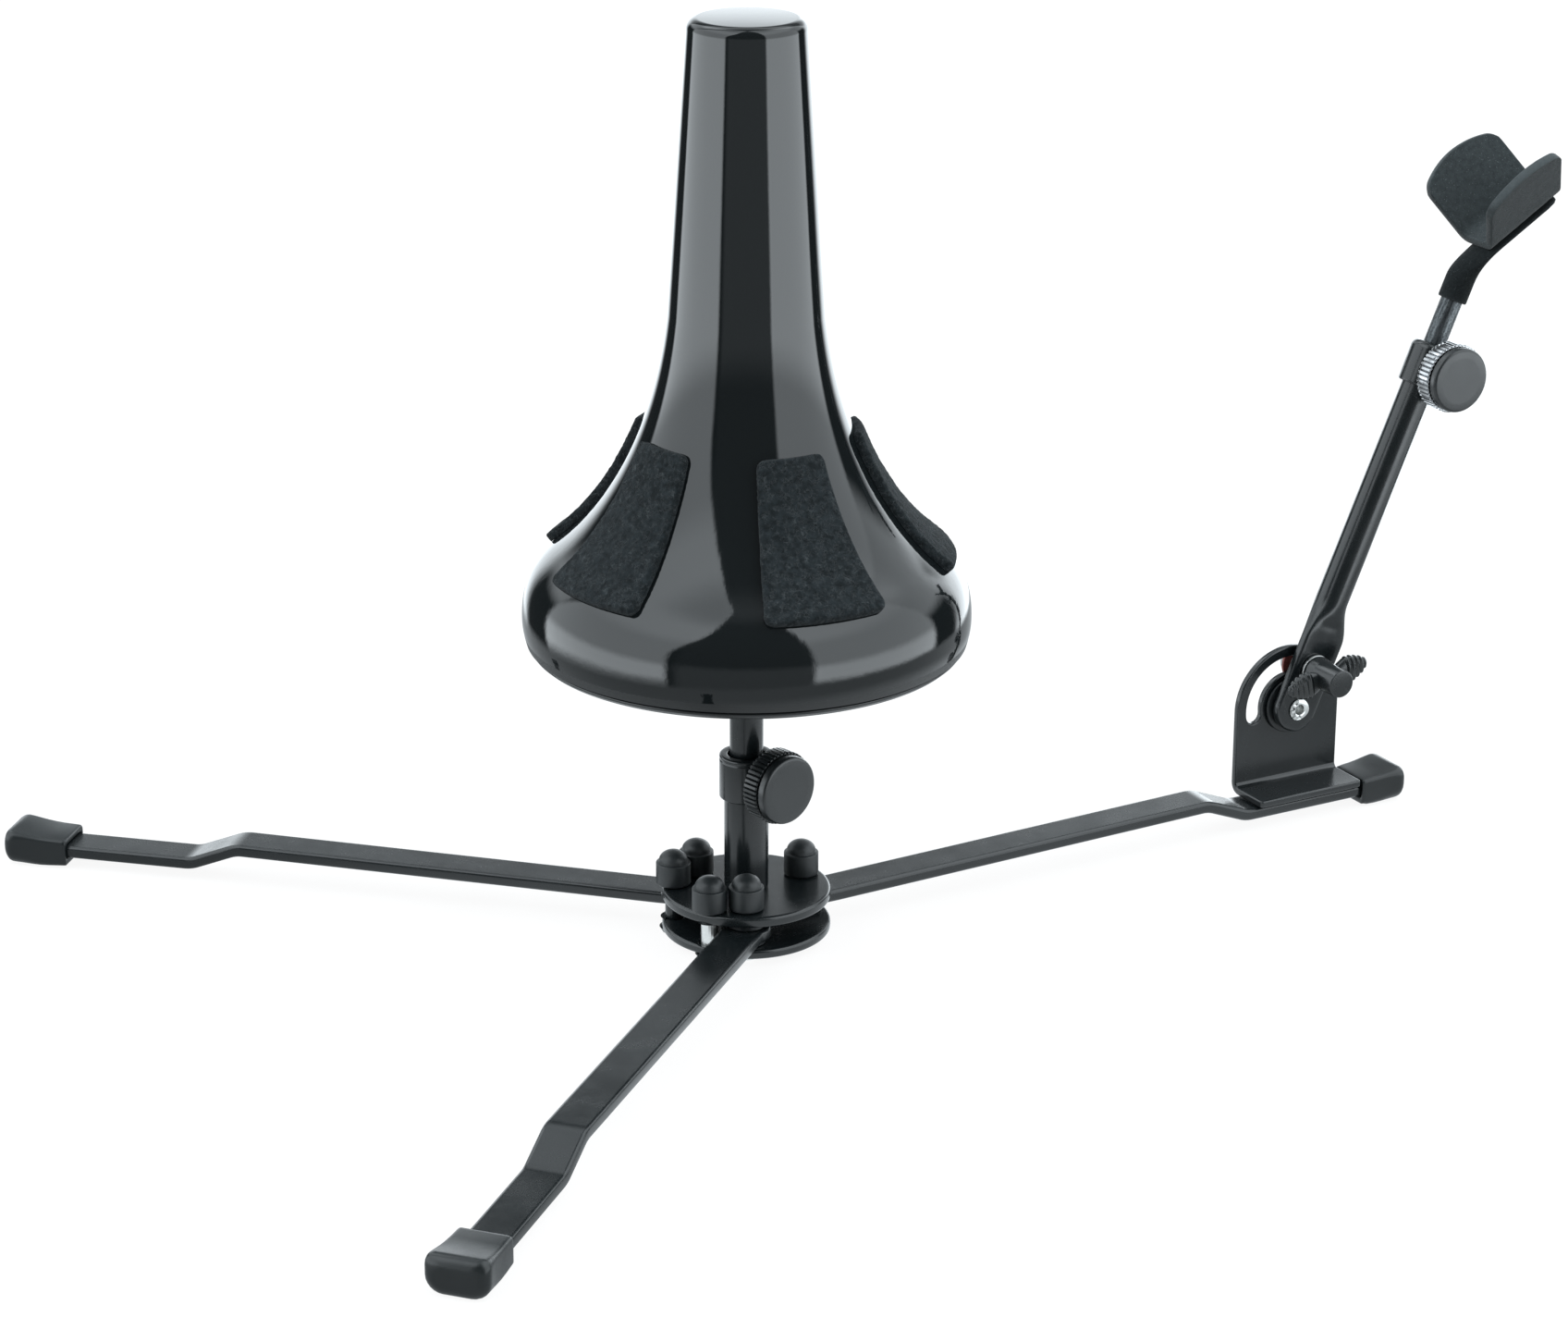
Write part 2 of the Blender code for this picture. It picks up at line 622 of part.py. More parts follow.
def offset_profile(profile, distance):
    """Move a profile along its normal; positive is outwards."""
    moved = []
    for index, (radius, z) in enumerate(profile):
        before = Vector(profile[max(index - 1, 0)])
        after = Vector(profile[min(index + 1, len(profile) - 1)])
        along = (after - before).normalized()
        moved.append((radius - along.y * distance, z + along.x * distance))
    return moved


def build_cone(root):
    """Rod, hollow cone, its base cover and the felt pads, on empties for sliding and turning."""
    slide = add_empty("cone_rod_slide", parent=root)
    finish(rod("cone_rod", ROD_RADIUS, *ROD_Z, 28), "black_steel", slide)
    spin = add_empty("cone_spin_axis", parent=slide)

    edge = [(CONE_TOP_RADIUS - CONE_TOP_EDGE + CONE_TOP_EDGE * math.sin(a),
             CONE_TOP_Z - CONE_TOP_EDGE + CONE_TOP_EDGE * math.cos(a))
            for a in np.linspace(0, math.pi / 2, 5)]
    wall_top = CONE_TOP_Z - CONE_WALL
    outer = [(0, CONE_TOP_Z)] + edge + cone_flare()
    inner = offset_profile(cone_flare(), -CONE_WALL)
    inner[-1] = (inner[-1][0], CONE_RIM_Z)
    hollow = inner[::-2] + [(CONE_TOP_RADIUS - CONE_WALL, wall_top), (0, wall_top)]
    finish(turned("cone_shell", outer + hollow, CONE_SEGMENTS), "gloss_plastic", spin)

    hub_bore = ROD_RADIUS + GAP
    cover = turned("cone_base_cover", [
        (COVER_HUB_RADIUS, COVER_HUB_TOP), (COVER_HUB_RADIUS, COVER_Z[1]),
        (COVER_RADIUS - 0.6 * MM, COVER_Z[1]), (COVER_RADIUS, COVER_Z[1] - 0.6 * MM),
        (COVER_RADIUS, COVER_Z[0] + 1.0 * MM), (COVER_RADIUS - 1.4 * MM, COVER_Z[0]),
        (hub_bore, COVER_Z[0]), (hub_bore, COVER_HUB_TOP)], CONE_SEGMENTS, closed=True)
    finish(cover, "matte_plastic", spin)
    nut_bottom = COVER_HUB_TOP + GAP
    nut = ring("rod_nut", ROD_NUT_RADIUS, hub_bore, nut_bottom, nut_bottom + ROD_NUT_HEIGHT, 24)
    finish(nut, "zinc", spin)

    flare = [point for point in cone_flare() if PAD_Z[0] <= point[1] <= PAD_Z[1]]
    sheet = offset_profile(flare, GAP)
    for index in range(PAD_COUNT):
        pad = turned("felt_pad_%d" % (index + 1), sheet, 8)
        pad.modifiers["Turn"].angle = PAD_SPAN
        solid = pad.modifiers.new("Thickness", "SOLIDIFY")
        solid.thickness = PAD_THICKNESS
        solid.offset = 1.0
        start = PAD_AZIMUTH - PAD_SPAN / 2 + index * 2 * math.pi / PAD_COUNT
        finish(pad, "felt", spin, rotation=(0, 0, start))


# ---------------------------------------------------------------- support arm

def build_bracket(root):
    """Bent sheet bracket with its arched plate and curved slot."""
    bottom = FLANGE_BOTTOM_Z - PIVOT_Z
    outline = ([(-BRACKET_RADIUS, bottom), (BRACKET_RADIUS, bottom)]
               + arc((0, 0), BRACKET_RADIUS, 0, math.pi, 20))
    plate = extruded("arm_bracket", outline, BRACKET_THICKNESS / 2)
    upright = Matrix.Rotation(math.pi / 2, 4, "X")
    plate.data.transform(upright)
    place = (PIVOT_X, BRACKET_FACE_Y + BRACKET_THICKNESS / 2, PIVOT_Z)

    depth = (BRACKET_FACE_Y + BRACKET_THICKNESS / 2 - FLANGE_FRONT_Y)
    flange = as_cutter(extruded("bracket_flange", [
        (-BRACKET_RADIUS, 0), (BRACKET_RADIUS, 0), (BRACKET_RADIUS, depth), (-BRACKET_RADIUS, depth)],
        FLANGE_THICKNESS / 2, CUTTERS))
    flange.parent = root
    flange.location = (PIVOT_X, FLANGE_FRONT_Y, FLANGE_BOTTOM_Z + FLANGE_THICKNESS / 2)
    boolean(plate, flange, "UNION")

    start, end = SLOT_ANGLES
    slot_outline = (arc((0, 0), SLOT_RADIUS + SLOT_HALF_WIDTH, start, end, 14)
                    + slot_end(end, 0) + arc((0, 0), SLOT_RADIUS - SLOT_HALF_WIDTH, end, start, 14)
                    + slot_end(start, math.pi))
    slot = as_cutter(extruded("bracket_slot", slot_outline, 5 * MM, CUTTERS))
    slot.data.transform(upright)
    pivot_hole = hole("bracket_pivot_hole", RIVET_RADIUS + GAP, -9 * MM, 9 * MM,
                      root, place, (math.pi / 2, 0, 0))
    slot.parent = root
    slot.location = place
    boolean(plate, slot)
    boolean(plate, pivot_hole)
    finish(plate, "black_steel", root, place)


def slot_end(angle, turn):
    """Inner points of the round end of the curved slot."""
    center = (SLOT_RADIUS * math.cos(angle), SLOT_RADIUS * math.sin(angle))
    return arc(center, SLOT_HALF_WIDTH, angle + turn, angle + turn + math.pi, 6)[1:-1]


def build_pivot(root):
    """Hollow rivet and friction disc on the arm's pivot."""
    face = TONGUE_Y[0] - GAP
    back = BRACKET_FACE_Y + BRACKET_THICKNESS + GAP
    profile = [(RIVET_FLANGE_RADIUS, -face + RIVET_FLANGE), (RIVET_FLANGE_RADIUS, -face),
               (RIVET_RADIUS, -face), (RIVET_RADIUS, -back), (RIVET_FLANGE_RADIUS, -back),
               (RIVET_FLANGE_RADIUS, -back - RIVET_FLANGE), (RIVET_BORE, -back - RIVET_FLANGE),
               (RIVET_BORE, -face + RIVET_FLANGE)]
    pivot = (PIVOT_X, 0, PIVOT_Z)
    lay = (math.pi / 2, 0, 0)
    finish(turned("pivot_rivet", profile, 24, closed=True), "zinc", root, pivot, lay)
    disc = ring("friction_disc", FRICTION_DISC_RADIUS, RIVET_RADIUS + GAP,
                -FRICTION_DISC_Y[1], -FRICTION_DISC_Y[0], 32)
    finish(disc, "matte_plastic", root, pivot, lay)


def flat_oval(x, center_y, half_thickness, half_width, count=26):
    """Section of the arm: an ellipse-like ring across its axis."""
    power = 1.0 if half_width < half_thickness * 1.2 else 0.6
    points = []
    for index in range(count):
        angle = 2 * math.pi * index / count
        c, s = math.cos(angle), math.sin(angle)
        points.append((x, center_y + half_thickness * math.copysign(abs(c) ** power, c),
                       half_width * s))
    return points


def build_arm_tube(arm):
    """Steel tube whose lower end is pressed flat into a tongue."""
    tongue_y = sum(TONGUE_Y) / 2
    half = (TONGUE_Y[1] - TONGUE_Y[0]) / 2
    sections = []
    for step in range(5):
        angle = -math.pi / 2 + math.radians(12) + step * math.radians(19.5)
        width = TONGUE_HALF_WIDTH * math.cos(angle)
        sections.append(flat_oval(TONGUE_HALF_WIDTH * math.sin(angle), tongue_y, half, width))
    sections.append(flat_oval(TONGUE_END, tongue_y, half, TONGUE_HALF_WIDTH))
    for share in (0.35, 0.7):
        x = TONGUE_END + share * (ARM_ROUND_START - TONGUE_END)
        blend = share * share * (3 - 2 * share)
        sections.append(flat_oval(
            x, tongue_y + blend * (ARM_TUBE_Y - tongue_y), half + blend * (ARM_TUBE_RADIUS - half),
            TONGUE_HALF_WIDTH + blend * (ARM_TUBE_RADIUS - TONGUE_HALF_WIDTH)))
    for x, radius in ((ARM_ROUND_START, ARM_TUBE_RADIUS), (ARM_TUBE_END, ARM_TUBE_RADIUS),
                      (ARM_TUBE_END, ARM_TUBE_BORE), (ARM_BORE_START, ARM_TUBE_BORE)):
        sections.append(flat_oval(x, ARM_TUBE_Y, radius, radius))
    tube = loft("arm_tube", sections)

    across = (math.pi / 2, 0, 0)
    boolean(tube, hole("arm_pivot_hole", RIVET_RADIUS + GAP, -9 * MM, 9 * MM, arm, (0, 0, 0), across))
    boolean(tube, hole("arm_slot_bolt_hole", SLOT_BOLT_RADIUS + GAP, -9 * MM, 9 * MM, arm,
                       (SLOT_RADIUS, 0, 0), across))
    return tube


def build_slot_bolt(arm):
    """Bolt through the curved slot, its washers and the wing nut."""
    place = (SLOT_RADIUS, 0, 0)
    lay = (math.pi / 2, 0, 0)
    head = REAR_WASHER_Y[1] + GAP
    profile = [(0, -SLOT_BOLT_Y[0]), (SLOT_BOLT_RADIUS, -SLOT_BOLT_Y[0]), (SLOT_BOLT_RADIUS, -head),
               (SLOT_BOLT_HEAD_RADIUS, -head), (SLOT_BOLT_HEAD_RADIUS * 0.8, -SLOT_BOLT_Y[1]),
               (0, -SLOT_BOLT_Y[1])]
    finish(turned("slot_bolt", profile, 20), "zinc", arm, place, lay)
    rear = ring("slot_rear_washer", REAR_WASHER_RADIUS, SLOT_BOLT_RADIUS + GAP,
                -REAR_WASHER_Y[1], -REAR_WASHER_Y[0], 24)
    finish(rear, "fibre", arm, place, lay)
    front = ring("slot_front_washer", FRONT_WASHER_RADIUS, SLOT_BOLT_RADIUS + GAP,
                 -FRONT_WASHER_Y[1], -FRONT_WASHER_Y[0], 24)
    finish(front, "zinc", arm, place, lay)

    axis = add_empty("wing_nut_axis", place, (math.pi / 2, ARM_ANGLE - WING_ANGLE, 0), arm)
    bore = SLOT_BOLT_RADIUS + GAP
    bore_end = -SLOT_BOLT_Y[0] + GAP
    nut = turned("wing_nut", [
        (0, -NUT_Y[0]), (NUT_RADIUS - 0.4 * MM, -NUT_Y[0]), (NUT_RADIUS, -NUT_Y[0] - 0.4 * MM),
        (NUT_RADIUS, -NUT_Y[1]), (bore, -NUT_Y[1]), (bore, bore_end), (0, bore_end)], 24)
    tip = WING_SPAN / 2 - WING_TIP_RADIUS
    half_root = WING_ROOT_WIDTH / 2
    for sign in (1, -1):
        outline = ([(sign * (bore + 0.6 * MM), -half_root), (sign * (bore + 0.6 * MM), half_root)]
                   + arc((sign * tip, 0), WING_TIP_RADIUS, math.pi / 2,
                         math.pi / 2 - sign * math.pi, 8))
        wing = as_cutter(extruded("wing_%s" % ("left" if sign < 0 else "right"), outline,
                                  (WING_Y[1] - WING_Y[0]) / 2, CUTTERS))
        wing.parent = axis
        wing.location = (0, 0, -(WING_Y[0] + WING_Y[1]) / 2)
        boolean(nut, wing, "UNION")
    finish(nut, "matte_plastic", axis)


def saddle_surface(name):
    """Open middle surface of the saddle in its own frame: x along the channel, z out of it."""
    obj = mesh_object(name)
    bm = bmesh.new()
    rows = []
    for along in np.linspace(0, SADDLE_LENGTH, 9):
        middle = 2 * along / SADDLE_LENGTH - 1
        slant = WING_SLANT + WING_ARCH * (1 - middle * middle)
        rows.append([bm.verts.new((along, y, z)) for y, z in saddle_section(slant)])
    for first, second in zip(rows, rows[1:]):
        for i in range(len(first) - 1):
            bm.faces.new((first[i], first[i + 1], second[i + 1], second[i]))
    bmesh.ops.recalc_face_normals(bm, faces=bm.faces)
    bm.to_mesh(obj.data)
    bm.free()
    solid = obj.modifiers.new("Thickness", "SOLIDIFY")
    solid.thickness = SADDLE_THICKNESS
    solid.offset = 0.0
    return obj


def saddle_section(slant):
    """Half-base, rounded bend and straight wing on each side, as (y, z)."""
    turn = math.pi / 2 - SADDLE_FLARE
    side = [(SADDLE_HALF_BASE * 0.5, 0.0)]
    for share in np.linspace(0, 1, 6):
        angle = share * turn
        side.append((SADDLE_HALF_BASE + SADDLE_BEND * math.sin(angle),
                     SADDLE_BEND * (1 - math.cos(angle))))
    y, z = side[-1]
    reach = slant - SADDLE_BEND * turn * 0.5
    for share in (0.5, 1.0):
        side.append((y + share * reach * math.sin(SADDLE_FLARE), z + share * reach * math.cos(SADDLE_FLARE)))
    return [(-y, z) for y, z in side[::-1]] + side


def build_cradle(arm):
    """Rod that slides in the arm, and the coated cradle that turns with it."""
    slide = add_empty("arm_rod_slide", (0, ARM_TUBE_Y, 0), parent=arm)
    inner_rod = rod("arm_rod", ARM_ROD_RADIUS, *ARM_ROD_X, 20)
    finish(inner_rod, "zinc", slide, rotation=(0, math.pi / 2, 0))

    spin = add_empty("cradle_axis", parent=slide)
    saddle = saddle_surface("cradle")
    back = arm_frame().inverted()
    start = back @ Vector((SADDLE_START[0], ARM_TUBE_Y, SADDLE_START[1]))
    start.y = 0
    tilt = ARM_ANGLE - SADDLE_TILT
    direction = Vector((math.cos(tilt), 0, -math.sin(tilt)))
    outward = Vector((math.sin(tilt), 0, math.cos(tilt)))
    drop = (SADDLE_THICKNESS + TAB_THICKNESS) / 2 - 0.4 * MM
    low = start - outward * drop

    stem = as_cutter(loft("cradle_stem", stem_sections(low, direction), CUTTERS))
    stem.parent = spin
    boolean(saddle, stem, "UNION")
    finish(saddle, "flock", spin, start, (0, tilt, 0))


def stem_sections(low, direction):
    """Oval sections of the neck, its bend and the flat tab under the saddle, in the arm's plane."""
    along = Vector((1, 0, 0))
    bend_start = Vector((NECK_BEND, 0, 0))
    corner = low - direction * (low.z / direction.z)
    bend_end = low + direction * TAB_ROUND_END
    stations = [(Vector((NECK_START, 0, 0)), along, 0), (bend_start, along, 0)]
    for share in (0.3, 0.55, 0.8, 1.0):
        point = bend_start.lerp(corner, share).lerp(corner.lerp(bend_end, share), share)
        stations.append((point, along.lerp(direction, share).normalized(), share))
    stations.append((low + direction * SADDLE_LENGTH, direction, 1))
    sections = [oval_ring(Vector((x, 0, 0)), along, NECK_BORE, NECK_BORE)
                for x in (ARM_ROD_X[1] + GAP, NECK_START)]
    for point, heading, share in stations:
        width = NECK_RADIUS + share * (TAB_WIDTH / 2 - NECK_RADIUS)
        height = NECK_RADIUS + share * (TAB_THICKNESS / 2 - NECK_RADIUS)
        sections.append(oval_ring(point, heading, width, height))
    return sections


def oval_ring(center, heading, half_width, half_height, count=20):
    """Ellipse across a heading that lies in the arm's plane."""
    normal = Vector((-heading.z, 0, heading.x))
    return [center + Vector((0, half_width * math.cos(a), 0)) + normal * half_height * math.sin(a)
            for a in np.linspace(0, 2 * math.pi, count, endpoint=False)]


def arm_frame():
    """Transform from the arm's frame to the stand's."""
    return (Matrix.Translation((PIVOT_X, 0, PIVOT_Z))
            @ Euler((0, -ARM_ANGLE, 0)).to_matrix().to_4x4())


def build_arm(root):
    """Everything that tilts on the bracket."""
    arm = add_empty("arm_pivot_axis", (PIVOT_X, 0, PIVOT_Z), (0, -ARM_ANGLE, 0), root)
    tube = build_arm_tube(arm)
    collar = ring("arm_collar", ARM_COLLAR_RADIUS, ARM_TUBE_RADIUS + GAP, *ARM_COLLAR_X, 28)
    axis = add_empty("arm_knob_axis", (ARM_KNOB_X, ARM_TUBE_Y - ARM_KNOB_OFFSET, 0),
                     (math.pi / 2, 0, 0), arm)
    add_clamp_boss(collar, tube, axis, ARM_COLLAR_RADIUS - ARM_KNOB_OFFSET, BOSS_END)
    finish(tube, "black_steel", arm)
    finish(collar, "black_steel", arm, (0, ARM_TUBE_Y, 0), (0, math.pi / 2, 0))
    clamp_knob("arm", axis, ARM_ROD_RADIUS + GAP - ARM_KNOB_OFFSET, "chrome")
    build_slot_bolt(arm)
    build_cradle(arm)


def center_on_floor(root):
    """Move the whole stand so that its bounding box is centred on the origin, resting on z = 0."""
    bpy.context.view_layer.update()
    depsgraph = bpy.context.evaluated_depsgraph_get()
    corners = []
    for obj in STAND.objects:
        if obj.type == "MESH":
            evaluated = obj.evaluated_get(depsgraph)
            corners += [obj.matrix_world @ vertex.co for vertex in evaluated.data.vertices]
    points = np.array(corners)
    low, high = points.min(axis=0), points.max(axis=0)
    root.location = (-(low[0] + high[0]) / 2, -(low[1] + high[1]) / 2, -low[2])


stand = add_empty("stand_frame")
build_hub(stand)
build_folding_leg("left", 1, stand)
build_folding_leg("right", -1, stand)
build_column(stand)
build_cone(stand)
build_bracket(stand)
build_pivot(stand)
build_arm(stand)
center_on_floor(stand)
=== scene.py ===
"""Looks of the folding trumpet stand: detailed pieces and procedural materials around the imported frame.

Lengths in the shape helpers are in millimetres; the frame and the finished meshes are in metres.
"""
import json
import math

import bmesh
import bpy
import numpy as np
from mathutils import Matrix, Vector, noise
from mathutils.geometry import tessellate_polygon


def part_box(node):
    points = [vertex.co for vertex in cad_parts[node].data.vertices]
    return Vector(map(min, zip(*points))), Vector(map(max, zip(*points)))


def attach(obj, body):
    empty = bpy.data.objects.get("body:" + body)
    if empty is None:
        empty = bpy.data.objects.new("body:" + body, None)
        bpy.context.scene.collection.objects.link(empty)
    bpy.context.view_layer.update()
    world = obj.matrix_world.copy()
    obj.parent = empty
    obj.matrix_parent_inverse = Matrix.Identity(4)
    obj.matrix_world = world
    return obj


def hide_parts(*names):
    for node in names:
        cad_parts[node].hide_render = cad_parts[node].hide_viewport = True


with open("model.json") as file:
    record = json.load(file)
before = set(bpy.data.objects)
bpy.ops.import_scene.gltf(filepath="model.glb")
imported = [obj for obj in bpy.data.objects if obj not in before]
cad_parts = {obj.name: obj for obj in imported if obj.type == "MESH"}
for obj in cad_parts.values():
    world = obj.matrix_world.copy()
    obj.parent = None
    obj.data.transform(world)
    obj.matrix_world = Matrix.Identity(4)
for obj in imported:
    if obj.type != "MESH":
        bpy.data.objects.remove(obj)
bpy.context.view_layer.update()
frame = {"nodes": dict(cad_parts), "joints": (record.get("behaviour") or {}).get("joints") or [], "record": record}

MM = 0.001
SHARP_ANGLE = math.radians(42)
MERGE = 0.002 * MM                  # points closer than this become one
BODY_OF = {node: body for body, nodes in frame["record"]["behaviour"]["bodies"].items() for node in nodes}
JOINTS = {joint["name"]: joint for joint in frame["joints"]}


# ---------------------------------------------------------------- places taken from the frame

def box_mm(node):
    """Lowest and highest corner of a CAD node in millimetres."""
    low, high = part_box(node)
    return low / MM, high / MM


def centre_mm(node):
    """Middle of a CAD node's box in millimetres."""
    low, high = box_mm(node)
    return (low + high) / 2


def joint_mm(name):
    """A joint's point in millimetres."""
    return Vector(JOINTS[name]["pos_m"]) / MM


def axes(origin, x_axis, z_axis):
    """Frame with the given X and Z directions; lengths in millimetres."""
    x_axis = Vector(x_axis).normalized()
    z_axis = Vector(z_axis).normalized()
    y_axis = z_axis.cross(x_axis)
    matrix = Matrix((x_axis, y_axis, z_axis)).transposed().to_4x4()
    matrix.translation = origin
    return matrix


COLUMN_AXIS = centre_mm("column_tube")
COLUMN = Matrix.Translation((COLUMN_AXIS.x, COLUMN_AXIS.y, 0))
ARM_AXIS = Vector(JOINTS["arm_reach"]["axis"])
ARM_PIVOT = joint_mm("arm_tilt")
ARM = axes((ARM_PIVOT.x, 0, ARM_PIVOT.z), ARM_AXIS, Vector((0, 1, 0)).cross(ARM_AXIS) * -1)
OPEN_ANGLE = math.radians(138.0)        # of each folding leg from the arm's leg


# ---------------------------------------------------------------- shapes, as (points, faces)

def rounded(corners, closed=False, steps=5):
    """Path through corners (a, b, radius). A corner with a radius becomes an arc."""
    path = []
    for index, corner in enumerate(corners):
        point = Vector(corner[:2])
        radius = corner[2] if len(corner) > 2 else 0
        if not radius or (not closed and index in (0, len(corners) - 1)):
            path.append(tuple(point))
            continue
        back = Vector(corners[index - 1][:2]) - point
        ahead = Vector(corners[(index + 1) % len(corners)][:2]) - point
        half = back.angle(ahead) / 2
        reach = min(radius / math.tan(half), back.length * 0.49, ahead.length * 0.49)
        middle = (back.normalized() + ahead.normalized()).normalized()
        centre = point + middle * (reach / math.cos(half))
        start = point + back.normalized() * reach - centre
        end = point + ahead.normalized() * reach - centre
        turn = start.angle_signed(end)
        for step in range(steps + 1):
            spun = Matrix.Rotation(-turn * step / steps, 2) @ start
            path.append(tuple(centre + spun))
    return path


def arc(centre, radius, start, end, steps):
    """Points on an arc, from one angle to another."""
    angles = np.linspace(start, end, steps + 1)
    return [(centre[0] + radius * math.cos(a), centre[1] + radius * math.sin(a)) for a in angles]


def circle(centre, radius, count=40):
    """Closed ring of points."""
    return arc(centre, radius, 0, 2 * math.pi * (count - 1) / count, count - 1)


def bezier(points, steps):
    """Points on a cubic Bezier curve, without its first point."""
    p0, p1, p2, p3 = (Vector(point) for point in points)
    shares = [step / steps for step in range(1, steps + 1)]
    return [tuple(p0 * (1 - t) ** 3 + p1 * 3 * t * (1 - t) ** 2 + p2 * 3 * t * t * (1 - t) + p3 * t ** 3)
            for t in shares]


def walked(points):
    """Length walked along a path at each of its points."""
    steps = [(Vector(b) - Vector(a)).length for a, b in zip(points, points[1:])]
    return np.concatenate([[0], np.cumsum(steps)])


def at_length(walk, lengths, rows):
    """Pair of values at a length walked along a path."""
    return [np.interp(walk, lengths, rows[:, k]) for k in (0, 1)]


def headings(path):
    """Direction of a path at each of its points."""
    return [(Vector(after) - Vector(before)).normalized()
            for before, after in zip(path[:1] + path[:-1], path[1:] + path[-1:])]


def smooth(share):
    """Share that starts and ends slowly."""
    return share * share * (3 - 2 * share)


def round_over(share):
    """Height of a quarter circle at a share of its width."""
    return math.sqrt(max(0.0, 1 - (1 - share) ** 2))


def corner_inset(radius, to_end):
    """How far a rounded corner pulls a side in, at a distance from the sheet's end."""
    return radius - math.sqrt(max(0.0, radius ** 2 - max(0.0, radius - to_end) ** 2))


def squared_circle(power, count):
    """Points of a unit circle that turns into a square as the power falls."""
    angles = [2 * math.pi * index / count for index in range(count)]
    return [[math.copysign(abs(v) ** power, v) for v in (math.cos(a), math.sin(a))] for a in angles]


def combine(*shells):
    """Several shells as one."""
    points, faces = [], []
    for shell_points, shell_faces in shells:
        start = len(points)
        points += list(shell_points)
        faces += [tuple(index + start for index in face) for face in shell_faces]
    return points, faces


def moved(shell, matrix):
    """A shell in another place."""
    return [matrix @ Vector(point) for point in shell[0]], shell[1]


def revolve(profile, segments=64, closed=False):
    """Turn a profile of (radius, z) about Z. A closed profile gives a ring."""
    points, rows = [], []
    for radius, z in profile:
        if radius < 1e-6:
            rows.append([len(points)] * segments)
            points.append((0, 0, z))
            continue
        rows.append(list(range(len(points), len(points) + segments)))
        for step in range(segments):
            angle = 2 * math.pi * step / segments
            points.append((radius * math.cos(angle), radius * math.sin(angle), z))
    faces = []
    pairs = list(zip(rows, rows[1:]))
    if closed:
        pairs.append((rows[-1], rows[0]))
    for first, second in pairs:
        for step in range(segments):
            after = (step + 1) % segments
            face = (first[step], first[after], second[after], second[step])
            faces.append(tuple(dict.fromkeys(face)))
    return points, [face for face in faces if len(face) > 2]


def loft(rings):
    """Closed skin through rings of 3D points that all have the same count."""
    count = len(rings[0])
    points = [point for ring in rings for point in ring]
    faces = []
    for row in range(len(rings) - 1):
        for step in range(count):
            after = (step + 1) % count
            faces.append((row * count + step, row * count + after,
                          (row + 1) * count + after, (row + 1) * count + step))
    for row, order in ((0, -1), (len(rings) - 1, 1)):
        middle = sum((Vector(point) for point in rings[row]), Vector()) / count
        points.append(middle)
        for step in range(count):
            edge = (row * count + step, row * count + (step + 1) % count)[::order]
            faces.append((*edge, len(points) - 1))
    return points, faces


def outward(contour, clockwise):
    """A contour in the wanted direction, with the normal that points away from the material."""
    area = sum(a[0] * b[1] - b[0] * a[1] for a, b in zip(contour, contour[1:] + contour[:1]))
    if (area < 0) != clockwise:
        contour = contour[::-1]
    normals = []
    for index, point in enumerate(contour):
        point = Vector(point)
        before = (point - Vector(contour[index - 1])).normalized()
        after = (Vector(contour[(index + 1) % len(contour)]) - point).normalized()
        mean = (before + after).normalized()
        stretch = 1 / max(0.6, mean.dot(after))
        normals.append((mean.y * stretch, -mean.x * stretch))
    return contour, normals


def plate(contours, thickness, edge, steps=4, radial=False):
    """Flat sheet with rounded edges, centred on z = 0: an outline, then its holes."""
    quarter = np.linspace(0, math.pi / 2, steps + 1)
    half = thickness / 2
    upper = [(edge * (1 - math.cos(a)), half - edge * (1 - math.sin(a))) for a in quarter]
    upper.append((edge + 0.06, half))
    levels = [(inset, -z) for inset, z in upper[::-1]] + upper
    points, faces, loops = [], [], []
    for number, contour in enumerate(contours):
        contour, normals = outward(list(contour), number > 0)
        if radial:
            normals = [tuple(Vector(point).normalized()) for point in contour]
        rows = []
        for inset, z in levels:
            rows.append(range(len(points), len(points) + len(contour)))
            points += [(x - nx * inset, y - ny * inset, z)
                       for (x, y), (nx, ny) in zip(contour, normals)]
        for first, second in zip(rows, rows[1:]):
            for step in range(len(contour)):
                after = (step + 1) % len(contour)
                faces.append((first[step], first[after], second[after], second[step]))
        loops.append(rows)
    for row, order in ((-1, 1), (0, -1)):
        rims = [[points[index] for index in rows[row]] for rows in loops]
        flat = [index for rows in loops for index in rows[row]]
        for triangle in tessellate_polygon([[Vector(point) for point in rim] for rim in rims]):
            faces.append(tuple(flat[corner] for corner in triangle[::order]))
    return points, faces


def bent(sheet, path):
    """Bend a flat sheet whose x runs along a path of (along, up) from its first point."""
    stations = walked(path)
    work = bmesh.new()
    verts = [work.verts.new(point) for point in sheet[0]]
    for face in sheet[1]:
        work.faces.new([verts[index] for index in face])
    for station in stations[1:-1]:
        geometry = work.verts[:] + work.edges[:] + work.faces[:]
        bmesh.ops.bisect_plane(work, geom=geometry, plane_co=(station, 0, 0), plane_no=(1, 0, 0),
                               dist=0.0001)
    normals = np.array([(-along.y, along.x) for along in headings(path)])
    path = np.array(path)
    points = []
    for index, vert in enumerate(work.verts):
        vert.index = index
        x, y, z = vert.co
        spot, up = at_length(x, stations, path), at_length(x, stations, normals)
        points.append((spot[0] + up[0] * z, y, spot[1] + up[1] * z))
    faces = [tuple(vert.index for vert in face.verts) for face in work.faces]
    work.free()
    return points, faces


